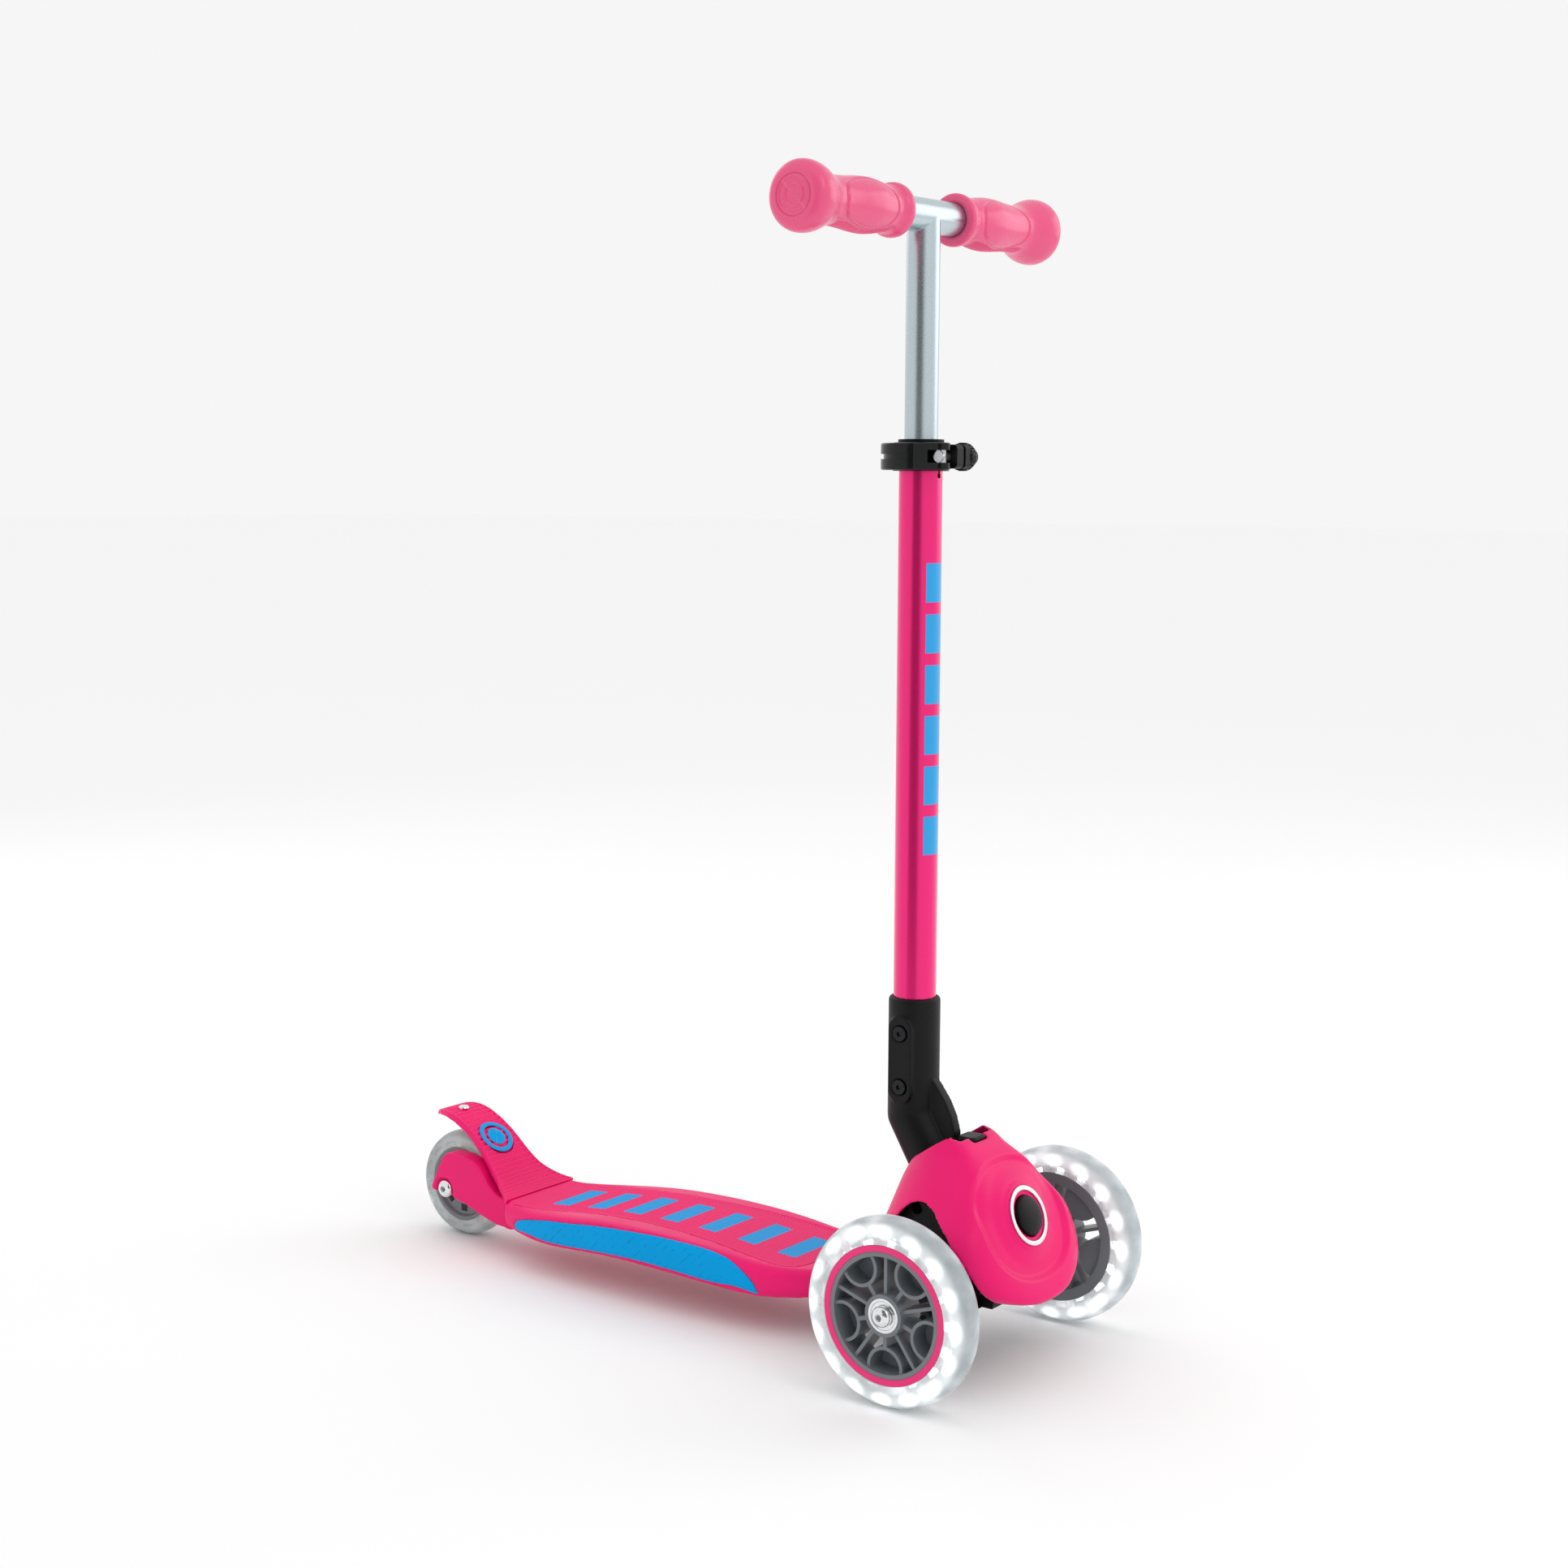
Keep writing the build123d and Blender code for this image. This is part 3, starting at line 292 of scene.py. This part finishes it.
def make_finishes():
    black = (0.0022, 0.0024, 0.0028)
    grip = moulded("pink_grip", (0.80, 0.085, 0.225), 0.24, grain=0.000008, scale=900, variation=0.03)
    grip.shader.inputs["Subsurface Weight"].default_value = 0.2
    grip.shader.inputs["Subsurface Radius"].default_value = (0.006, 0.0022, 0.0028)
    led = Finish("led_light")
    led.shader.inputs["Emission Color"].default_value = (0.95, 0.98, 1, 1)
    led.shader.inputs["Emission Strength"].default_value = 4.0
    led.colour(led.mix(led.noise(500.0), (0.85, 0.88, 0.9, 1), (1, 1, 1, 1)))
    return {
        "pink_plastic": moulded("pink_plastic", PINK, 0.40, Specular_IOR_Level=0.22).material,
        "pink_pad": pad_finish(),
        "blue_rubber": insert_finish(),
        "blue_plastic": moulded("blue_plastic", BLUE, 0.48, Specular_IOR_Level=0.06).material,
        "pink_trim": moulded("pink_trim", (0.82, 0.012, 0.17), 0.34).material,
        "black_plastic": moulded("black_plastic", black, 0.46, grain=0.00006, scale=1100, variation=0.12,
                                 Specular_IOR_Level=0.22).material,
        "black_gloss": moulded("black_gloss", (0.0025, 0.003, 0.0035), 0.22, grain=0.00001, variation=0.1,
                               Specular_IOR_Level=0.3).material,
        "silver_trim": metal("silver_trim", (0.78, 0.79, 0.80), 0.3, scale=1500).material,
        "steel": metal("steel", (0.56, 0.57, 0.58), 0.30).material,
        "spring_steel": metal("spring_steel", (0.45, 0.46, 0.47), 0.34, scale=1500).material,
        "bright_steel": metal("bright_steel", (0.80, 0.82, 0.83), 0.14, scale=1200, grain=0.000008).material,
        "black_screw": metal("black_screw", (0.030, 0.031, 0.033), 0.36, scale=1500).material,
        "clear_tyre": tyre_finish("clear_tyre", True),
        "grey_hub": moulded("grey_hub", srgb(112, 117, 122), 0.36, variation=0.08).material,
        "led_light": led.material,
        "copper_coil": metal("copper_coil", (0.72, 0.34, 0.16), 0.35, (14, 1, 1), 300.0, 0.0001).material,
        "magnet": metal("magnet", (0.32, 0.33, 0.34), 0.4).material,
        "pink_tube": tube_finish(),
        "aluminium_tube": metal("aluminium_tube", srgb(190, 203, 208), 0.30, scale=2600.0,
                                grain=0.00001).material,
        "pink_grip": grip.material,
    }


# ---- mesh helpers --------------------------------------------------------------------------------
def piece(name, mesh, finish, body, replaced, place=None):
    """One finished piece of the visual model, riding on its CAD body."""
    obj = bpy.data.objects.new(name, mesh)
    bpy.context.scene.collection.objects.link(obj)
    if place is not None:
        obj.location = place
    bpy.context.view_layer.update()
    mesh.polygons.foreach_set("use_smooth", [True] * len(mesh.polygons))
    mesh.materials.clear()
    mesh.materials.append(finish)
    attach(obj, body)
    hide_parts(*replaced)


def sheet_faces(rows, columns, closed):
    """Quads between the points of a rows by columns grid; closed joins its last column to its first."""
    faces = []
    for i in range(rows - 1):
        for j in range(columns if closed else columns - 1):
            k = (j + 1) % columns
            faces.append((i * columns + j, i * columns + k, (i + 1) * columns + k, (i + 1) * columns + j))
    return faces


def mesh_from(name, points, faces):
    """A mesh with its coinciding points welded and its faces turned outwards."""
    mesh = bpy.data.meshes.new(name)
    mesh.from_pydata([tuple(p) for p in points], [], faces)
    bm = bmesh.new()
    bm.from_mesh(mesh)
    bmesh.ops.remove_doubles(bm, verts=bm.verts, dist=WELD)
    bmesh.ops.recalc_face_normals(bm, faces=bm.faces)
    bm.to_mesh(mesh)
    bm.free()
    return mesh


def smooth_line(points, count):
    """A smooth curve through the points (Catmull-Rom), as count points evenly along it."""
    p = np.array(points, float)
    p = np.vstack([2 * p[0] - p[1], p, 2 * p[-1] - p[-2]])
    out = []
    for i in range(1, len(p) - 2):
        for t in np.linspace(0, 1, 24, endpoint=False):
            a, b, c, d = p[i - 1], p[i], p[i + 1], p[i + 2]
            out.append(0.5 * (2 * b + (c - a) * t + (2 * a - 5 * b + 4 * c - d) * t**2
                              + (3 * b - a - 3 * c + d) * t**3))
    out.append(p[-2])
    out = np.array(out)
    run = np.concatenate([[0], np.cumsum(np.linalg.norm(np.diff(out, axis=0), axis=1))])
    want = np.linspace(0, run[-1], count)
    return np.stack([np.interp(want, run, out[:, k]) for k in range(2)], axis=1)


def step(value, low, high):
    """Smooth step from 0 at low to 1 at high."""
    t = np.clip((value - low) / (high - low), 0, 1)
    return t * t * (3 - 2 * t)


def softened(node, voxel, rounds):
    """A copy of a CAD node's mesh, remeshed evenly and with its edges rounded as a moulding's are."""
    mesh = NODES[node].data.copy()
    bm = bmesh.new()
    bm.from_mesh(mesh)
    bmesh.ops.remove_doubles(bm, verts=bm.verts, dist=WELD)
    bm.to_mesh(mesh)
    bm.free()
    obj = bpy.data.objects.new("remesh", mesh)
    bpy.context.scene.collection.objects.link(obj)
    remesh = obj.modifiers.new("remesh", "REMESH")
    remesh.mode = "VOXEL"
    remesh.voxel_size = voxel * MM
    smooth = obj.modifiers.new("smooth", "SMOOTH")
    smooth.factor = 0.5
    smooth.iterations = rounds
    graph = bpy.context.evaluated_depsgraph_get()
    made = bpy.data.meshes.new_from_object(obj.evaluated_get(graph))
    bpy.data.objects.remove(obj)
    return made


def coords(mesh):
    co = np.zeros(len(mesh.vertices) * 3, np.float32)
    mesh.vertices.foreach_get("co", co)
    return co.reshape(-1, 3).astype(float)


def normals(mesh):
    no = np.zeros(len(mesh.vertices) * 3, np.float32)
    mesh.vertex_normals.foreach_get("vector", no)
    return no.reshape(-1, 3).astype(float)


def set_coords(mesh, co):
    mesh.vertices.foreach_set("co", co.astype(np.float32).ravel())
    mesh.update()


def surface_of(node):
    """A ray-casting tree of a CAD node's mesh."""
    mesh = NODES[node].data
    return BVHTree.FromPolygons([v.co.copy() for v in mesh.vertices],
                                [tuple(p.vertices) for p in mesh.polygons])


def height_at(tree, x, y):
    """Height of the surface under a point, or None beside it."""
    hit = tree.ray_cast(Vector((x, y, 1.0)), Vector((0, 0, -1)))
    return hit[0].z if hit[0] is not None else None


# ---- front wheels --------------------------------------------------------------------------------
def tyre_mesh(name, bore, tread, half, lugs):
    """A clear tyre about the X axis through its centre: rounded tread, sides with moulded windows."""
    k = (tread - bore) / 16.2
    side = [(half - 1.4, bore), (half - 0.8, bore + 1.7 * k), (half - 0.3, bore + 4.2 * k),
            (half, bore + 6.7 * k), (half - 0.1, bore + 8.8 * k), (half - 1.0, bore + 11 * k),
            (half - 2.6, bore + 13 * k),
            (half - 5.2, bore + 14.7 * k), (half * 0.32, tread - 0.35), (0, tread)]
    side = smooth_line(side, 34)
    loop = np.vstack([side, side[-2::-1] * [-1, 1]])
    count = 480
    turn = np.linspace(0, 2 * math.pi, count, endpoint=False)
    rows = []
    for across, radius in loop:
        band = step(radius, bore + 0.9, bore + 1.9) * (1 - step(radius, bore + 5.0 * k, bore + 6.0 * k))
        cell = np.abs((turn * lugs / (2 * math.pi)) % 1 - 0.5)
        window = band * (1 - step(cell, 0.30, 0.36))
        x = across - np.sign(across) * 0.9 * window
        rows.append(np.stack([x, radius * np.sin(turn), radius * np.cos(turn)], axis=1))
    rows.append(rows[0])
    return mesh_from(name, np.vstack(rows) * MM, sheet_faces(len(rows), count, True))


def make_tyres():
    for side in ("left", "right"):
        node = side + "_tyre"
        low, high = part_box(node)
        tread = (high.z - low.z) / 2 / MM
        mesh = tyre_mesh(node + "_clear", tread - 16.1, tread, (high.x - low.x) / 2 / MM, 20)
        piece(node + "_clear", mesh, FINISH["clear_tyre"], side + "_wheel", [node],
              middle(node))
    low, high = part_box("rear_tyre")
    tread = (high.z - low.z) / 2 / MM
    mesh = tyre_mesh("rear_tyre_clear", tread - 11.9, tread, (high.x - low.x) / 2 / MM, 12)
    piece("rear_tyre_clear", mesh, tyre_finish("rear_clear", False), "rear_wheel",
          ["rear_tyre"], middle("rear_tyre"))


# ---- grips ---------------------------------------------------------------------------------------
PANEL_MIDDLE, PANEL_HALF, PANEL_CORNER = 77, 27, 9     # palm panel of a grip, in mm along it
GRIP_RIB_PITCH = 3.3


def make_grips():
    """Both grips, turned from one profile, with palm panels, finger ribs and rings on the end disc."""
    low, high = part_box("grip_left")
    start, end = low.x / MM, high.x / MM
    centre = Vector((0, (low.y + high.y) / 2, (low.z + high.z) / 2))
    knob = (high.z - low.z) / 2 / MM
    shift = start - 30.0
    outer = [(30, 15.4), (31, 16.6), (33, 17.05), (35.6, 16.6), (38, 15.2), (41, 14.4), (46, 14.6),
             (52, 15.3), (60, 16.5), (69, 17.2), (79, 16.8), (90, 15.8), (100, 15.2), (108, 15.4),
             (113, 16.6), (119, 19.0), (125, 21.0), (131, knob), (135.2, knob - 1.0),
             (138.0, knob - 3.6), (139.2, knob - 6.4), (end, knob - 8.6)]
    outer[:6] = [(x + shift, r) for x, r in outer[:6]]
    line = smooth_line(outer, 330)
    line[:, 0] = np.minimum(line[:, 0], end)
    line[:, 1] = np.minimum(line[:, 1], knob)
    disc = np.stack([np.full(40, end), np.linspace(line[-1, 1], 0, 41)[1:]], axis=1)
    bore = [(128, 0), (128, 10.9), (start, 10.9), (start, 13.0)]
    profile = np.vstack([bore, line, disc])
    count = 220
    turn = np.linspace(0, 2 * math.pi, count, endpoint=False)
    front = np.minimum(np.abs(turn), np.abs(2 * math.pi - turn))
    facing = np.minimum(front, math.pi - front)
    down = np.abs((turn - 1.5 * math.pi + math.pi) % (2 * math.pi) - math.pi)
    rows = []
    for x, r in profile:
        radius = np.full(count, r)
        shift_x = 0.0
        if r > 13.5 and x < 112:
            wave = math.radians(52) + math.radians(11) * math.sin((x - 62) / 62 * 2 * math.pi)
            a = r * (facing - wave) + PANEL_CORNER
            b = abs(x - PANEL_MIDDLE) - PANEL_HALF + PANEL_CORNER
            outside = np.hypot(np.maximum(a, 0), max(b, 0)) + np.minimum(np.maximum(a, b), 0) - PANEL_CORNER
            radius += 0.30 * step(-outside, -0.6, 1.6) - 0.95 * np.exp(-(outside / 0.95) ** 2)
            ribs = 0.5 - 0.5 * math.cos(2 * math.pi * x / GRIP_RIB_PITCH)
            zone = step(x, 46, 50) * (1 - step(x, 104, 108))
            radius -= 0.95 * ribs * zone * (1 - step(down, 0.50, 0.66)) * step(outside, 1.2, 2.4)
        if x >= end - 0.01 and r > 0:
            ring = math.exp(-((r - 6.6) / 0.8) ** 2) + math.exp(-((r - 11.4) / 0.8) ** 2)
            shift_x = -0.8 * (1 - min(1.0, ring)) * (1 if r < knob - 8.8 else 0)
        radius = np.minimum(radius, knob)
        across = np.full(count, x + shift_x)
        rows.append(np.stack([across, -radius * np.cos(turn), radius * np.sin(turn)], axis=1))
    points = np.vstack(rows) * MM
    faces = sheet_faces(len(rows), count, True)
    for name, sign in (("grip_left", 1), ("grip_right", -1)):
        mesh = mesh_from(name + "_moulded", points * [sign, 1, 1], faces)
        piece(name + "_moulded", mesh, FINISH["pink_grip"], "t_bar", [name], centre)


# ---- front cover ---------------------------------------------------------------------------------
DISH_HALF_X, DISH_HALF_Z, DISH_POWER = 49.0, 42.0, 2.3    # the oval recess in the cover's face, in mm
DISH_DEPTH = 3.6
FACE_LEAN = 22.5          # how far the face leans back, in degrees


def make_cover():
    """Moulded cover: softened edges, and a shallow soft oval recess around the lock button."""
    mesh = softened("front_cover", 1.0, 5)
    co = coords(mesh)
    face = middle("emblem_ring")
    lean = math.radians(FACE_LEAN)
    out = np.array([0, -math.cos(lean), math.sin(lean)])
    up = np.array([0, math.sin(lean), math.cos(lean)])
    offset = co - np.array(face)
    across, along, height = offset[:, 0] / MM, offset @ up / MM, offset @ out / MM
    oval = np.abs(across / DISH_HALF_X) ** DISH_POWER + np.abs(along / DISH_HALF_Z) ** DISH_POWER
    oval = oval ** (1 / DISH_POWER)
    from_button = np.hypot(across, along)
    depth = DISH_DEPTH * (1 - step(oval, 0.86, 1.0)) * (0.35 + 0.65 * step(from_button, 21.5, 34))
    depth *= step(from_button, 20.8, 23.5)
    near = step(height, -18, -13)
    co -= np.outer(depth * near * MM, out)
    set_coords(mesh, co)
    piece("front_cover_moulded", mesh, FINISH["pink_plastic"], "deck", ["front_cover"])


# ---- deck ----------------------------------------------------------------------------------------
RIB_PITCH, RIB_DEPTH = 2.8, 0.8      # across the pad, in mm
PAD_EDGE = 0.3            # gap between the pad and the deck at the pad's rear, in mm


def make_deck():
    """Deck shell, ribbed pad and blue side inserts."""
    mesh = softened("deck_shell", 1.1, 7)
    piece("deck_shell_moulded", mesh, FINISH["pink_plastic"], "deck", ["deck_shell"])
    tree = surface_of("deck_pad")
    low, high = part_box("deck_pad")
    rows, columns = int((high.y - low.y) / (0.4 * MM)), 90
    ys = np.linspace(low.y + 0.05 * MM, high.y - PAD_EDGE * MM, rows)
    skirt = 1.6 * MM
    points = []
    for i, y in enumerate(ys):
        inside, outside = 0.0, high.x + MM
        for _ in range(14):
            trial = (inside + outside) / 2
            inside, outside = (trial, outside) if height_at(tree, trial, y) is not None else (inside, trial)
        half = max(inside - 0.25 * MM, 0.5 * MM)
        row = []
        end = min(y - low.y, high.y - PAD_EDGE * MM - y) / MM
        for t in np.sin(np.linspace(-math.pi / 2, math.pi / 2, columns)):
            x = t * half
            top = height_at(tree, x, y) or height_at(tree, x * 0.98, y) or points[-1][2]
            edge = min((half - abs(x)) / MM, end + 0.4)
            groove = 0.5 - 0.5 * math.cos(2 * math.pi * (y - low.y) / (RIB_PITCH * MM))
            drop = RIB_DEPTH * groove * float(step(edge, 0.6, 2.2))
            drop += 0.9 * (1 - math.sqrt(1 - (1 - min(edge, 1.0)) ** 2)) if edge < 1 else 0
            row.append((x, y, top - drop * MM))
        row.insert(0, (row[0][0], y, row[0][2] - skirt))
        row.append((row[-1][0], y, row[-1][2] - skirt))
        points += row
    wide = columns + 2
    first = [(x, y, z - skirt) for x, y, z in points[:wide]]
    last = [(x, y, z - skirt) for x, y, z in points[-wide:]]
    mesh = mesh_from("deck_pad_ribbed", first + points + last, sheet_faces(rows + 2, wide, False))
    bm = bmesh.new()
    bm.from_mesh(mesh)
    rim = [e for e in bm.edges if e.is_boundary]
    bmesh.ops.contextual_create(bm, geom=rim)
    bm.to_mesh(mesh)
    bm.free()
    piece("deck_pad_ribbed", mesh, FINISH["pink_pad"], "deck", ["deck_pad"])
    for side in ("left", "right"):
        node = "side_insert_" + side
        mesh = softened(node, 0.55, 4)
        piece(node + "_moulded", mesh, FINISH["blue_rubber"], "deck", [node])


# ---- brake ---------------------------------------------------------------------------------------
def brake_line():
    """The brake's top seen from the side: y, height and distance along it, from its seam to its tip."""
    tree = surface_of("brake_lever")
    low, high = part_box("brake_lever")
    ys, zs = [], []
    for y in np.linspace(low.y + 0.4 * MM, high.y - 0.6 * MM, 260):
        for x in (15.6 * MM, 12 * MM, 7 * MM, 3 * MM):
            z = height_at(tree, x, y)
            if z is not None:
                ys.append(y)
                zs.append(z)
                break
    ys, zs = np.array(ys), np.array(zs)
    run = np.concatenate([[0], np.cumsum(np.hypot(np.diff(ys), np.diff(zs)))])
    return ys, zs, run


BRAKE_RIB_DEPTH = 1.15
BRAKE_RIB_PITCH, BRAKE_RIB_GROWTH = 3.2, 1.5          # in mm; the ribs get wider towards the tip


def make_brake():
    """The brake lever with ribs across its top, and its badge bent to follow it."""
    ys, zs, run = brake_line()
    mesh = softened("brake_lever", 0.65, 5)
    co, no = coords(mesh), normals(mesh)
    along = np.interp(co[:, 1], ys, run) / MM
    grid = np.linspace(0, run[-1] / MM, 600)
    pitch = BRAKE_RIB_PITCH + BRAKE_RIB_GROWTH * step(grid[1:], 8, 45)
    phase_line = np.concatenate([[0], np.cumsum(np.diff(grid) / pitch)])
    phase = np.interp(along, grid, phase_line)
    slope = np.interp(co[:, 1], (ys[1:] + ys[:-1]) / 2, np.arctan2(np.diff(zs), np.diff(ys)))
    upward = np.stack([np.zeros_like(slope), -np.sin(slope), np.cos(slope)], axis=1)
    facing = step(np.sum(no * upward, axis=1), 0.75, 0.92)
    top = co[:, 2] > np.interp(co[:, 1], ys, zs) - 1.2 * MM
    bins = np.round((co[:, 1] - ys[0]) / (1.5 * MM)).astype(int)
    half = np.zeros(bins.max() - bins.min() + 1)
    np.maximum.at(half, bins - bins.min(), np.abs(co[:, 0]))
    edge = (half[bins - bins.min()] - np.abs(co[:, 0])) / MM
    border = step(edge, 1.6, 2.8) * (1 - step(along, run[-1] / MM - 7, run[-1] / MM - 4))
    ribs = 0.5 - 0.5 * np.cos(2 * math.pi * phase)
    co -= no * (BRAKE_RIB_DEPTH * MM * ribs * facing * top * border)[:, None]
    set_coords(mesh, co)
    piece("brake_lever_ribbed", mesh, FINISH["pink_plastic"], "brake", ["brake_lever"])
    low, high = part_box("brake_badge")
    middle_run = np.interp((low.y + high.y) / 2, ys, run)
    count = 96
    turn = np.linspace(0, 2 * math.pi, count, endpoint=False)
    points, faces = [], []
    for inner, outer in ((0.0, 7.5), (10.5, 14.0)):
        section = [(inner, -0.4), (inner, 0.25), (inner + 0.3, 0.45),
                   (outer - 0.3, 0.45), (outer, 0.25), (outer, -0.4)]
        start = len(points)
        for radius, lift in section + section[:1]:
            radius = max(radius, 0.0)
            s = middle_run + radius * MM * np.sin(turn)
            y, z = np.interp(s, run, ys), np.interp(s, run, zs)
            tilt = np.interp(y, (ys[1:] + ys[:-1]) / 2, np.arctan2(np.diff(zs), np.diff(ys)))
            lift = lift * MM
            points += list(zip(radius * MM * np.cos(turn), y - np.sin(tilt) * lift, z + np.cos(tilt) * lift))
        faces += [tuple(start + i for i in face) for face in sheet_faces(len(section) + 1, count, True)]
    mesh = mesh_from("brake_badge_curved", points, faces)
    piece("brake_badge_curved", mesh, FINISH["blue_plastic"], "brake", ["brake_badge"])


# ---- stem ----------------------------------------------------------------------------------------
def make_bracket():
    """The folding bracket at the foot of the stem, with rounded edges."""
    mesh = softened("stem_bracket", 0.8, 8)
    piece("stem_bracket_moulded", mesh, FINISH["black_plastic"], "stem", ["stem_bracket"])


# ---- pieces kept from the CAD --------------------------------------------------------------------
BEVEL = {"clamp_band": 0.9, "clamp_lever": 0.8, "clamp_nut": 0.4, "left_hub": 0.45,
         "right_hub": 0.45, "left_rim_ring": 0.5, "right_rim_ring": 0.5, "emblem_ring": 0.3, "chassis": 0.8,
         "fold_button": 0.4, "rear_hub": 0.5, "bracket_screws": 0.25, "outer_tube": 0.3, "tube_bushing": 0.3}


def keep(node):
    """A CAD node shown as it is: welded, with small bevels on its edges and an even shading."""
    obj = NODES[node]
    obj.data.polygons.foreach_set("use_smooth", [True] * len(obj.data.polygons))
    if obj.data.has_custom_normals:
        obj.data.attributes.remove(obj.data.attributes["custom_normal"])
    weld = obj.modifiers.new("weld", "WELD")
    weld.merge_threshold = WELD
    bevel = obj.modifiers.new("bevel", "BEVEL")
    bevel.width = BEVEL.get(node, 0.2) * MM
    bevel.segments = 2
    bevel.limit_method = "ANGLE"
    bevel.angle_limit = math.radians(32)
    obj.modifiers.new("even_shading", "WEIGHTED_NORMAL")


# ---- camera, light and floor ---------------------------------------------------------------------
def add_camera():
    """The camera, low and to the front left of the scooter."""
    azimuth, elevation, roll = math.radians(-53.451), math.radians(6.935), math.radians(0.295)
    back = Vector((math.sin(azimuth) * math.cos(elevation), -math.cos(azimuth) * math.cos(elevation),
                   math.sin(elevation)))
    right = (-back).cross(Vector((0, 0, 1))).normalized()
    up = right.cross(-back)
    rolled_right = right * math.cos(roll) + up * math.sin(roll)
    rolled_up = up * math.cos(roll) - right * math.sin(roll)
    data = bpy.data.cameras.new("camera")
    data.sensor_width = 36.0
    data.lens = 56.907
    camera = bpy.data.objects.new("camera", data)
    bpy.context.scene.collection.objects.link(camera)
    turn = Matrix((rolled_right, rolled_up, back)).transposed().to_4x4()
    camera.matrix_world = Matrix.Translation(at(-1334.55, -827.59, 569.22)) @ turn
    bpy.context.scene.camera = camera


def area_light(name, place, target, size, power):
    """A soft square light at place that shines towards target."""
    data = bpy.data.lights.new(name, "AREA")
    data.size = size
    data.energy = power
    light = bpy.data.objects.new(name, data)
    bpy.context.scene.collection.objects.link(light)
    light.location = place
    light.rotation_euler = (Vector(target) - Vector(place)).to_track_quat("-Z", "Y").to_euler()


def add_studio():
    """Pale floor and surroundings, soft lights, and a dark card beside the camera for the metal."""
    world = bpy.data.worlds.new("studio")
    world.use_nodes = True
    world.node_tree.nodes["Background"].inputs["Color"].default_value = (0.94, 0.94, 0.94, 1)
    world.node_tree.nodes["Background"].inputs["Strength"].default_value = 0.98
    bpy.context.scene.world = world
    target = (0, 0, 0.35)
    area_light("key", (-0.6, -2.0, 2.0), target, 1.1, 5.5)
    area_light("fill", (1.9, -1.2, 1.2), target, 1.4, 7.0)
    area_light("rim", (0.6, 2.0, 1.5), target, 1.3, 3.3)
    bpy.context.scene.view_settings.view_transform = "Standard"
    half = 30.0
    corners = [(-half, -half, 0), (half, -half, 0), (half, half, 0), (-half, half, 0)]
    mesh = mesh_from("floor", corners, [(0, 1, 2, 3)])
    floor = bpy.data.objects.new("floor", mesh)
    bpy.context.scene.collection.objects.link(floor)
    paper = Finish("floor_paper")
    paper.colour(paper.mix(paper.noise(3.0), (0.985, 0.985, 0.985, 1), (0.992, 0.992, 0.992, 1)))
    paper.rough(0.95)
    floor.data.materials.append(paper.material)
    wide, tall = 0.42, 1.5
    corners = [(0, -wide, 0.0), (0, wide, 0.0), (0, wide, tall), (0, -wide, tall)]
    card = bpy.data.objects.new("card", mesh_from("card", corners, [(0, 1, 2, 3)]))
    bpy.context.scene.collection.objects.link(card)
    card.location = at(-957, -238, 0)
    card.rotation_euler = (0, 0, math.atan2(-289, -957))
    card.visible_camera = card.visible_diffuse = card.visible_shadow = card.visible_transmission = False
    felt = Finish("card_felt", Roughness=1.0)
    felt.colour(felt.mix(felt.noise(40.0), (0.15, 0.15, 0.15, 1), (0.18, 0.18, 0.18, 1)))
    card.data.materials.append(felt.material)


FINISH = make_finishes()
add_camera()
add_studio()
make_tyres()
make_grips()
make_cover()
make_deck()
make_brake()
make_bracket()
for part in frame["record"]["subparts"]:
    obj = NODES[part["node"]]
    if obj.hide_render:
        continue
    obj.data.materials.clear()
    obj.data.materials.append(FINISH[part["material_slot"]])
    keep(part["node"])
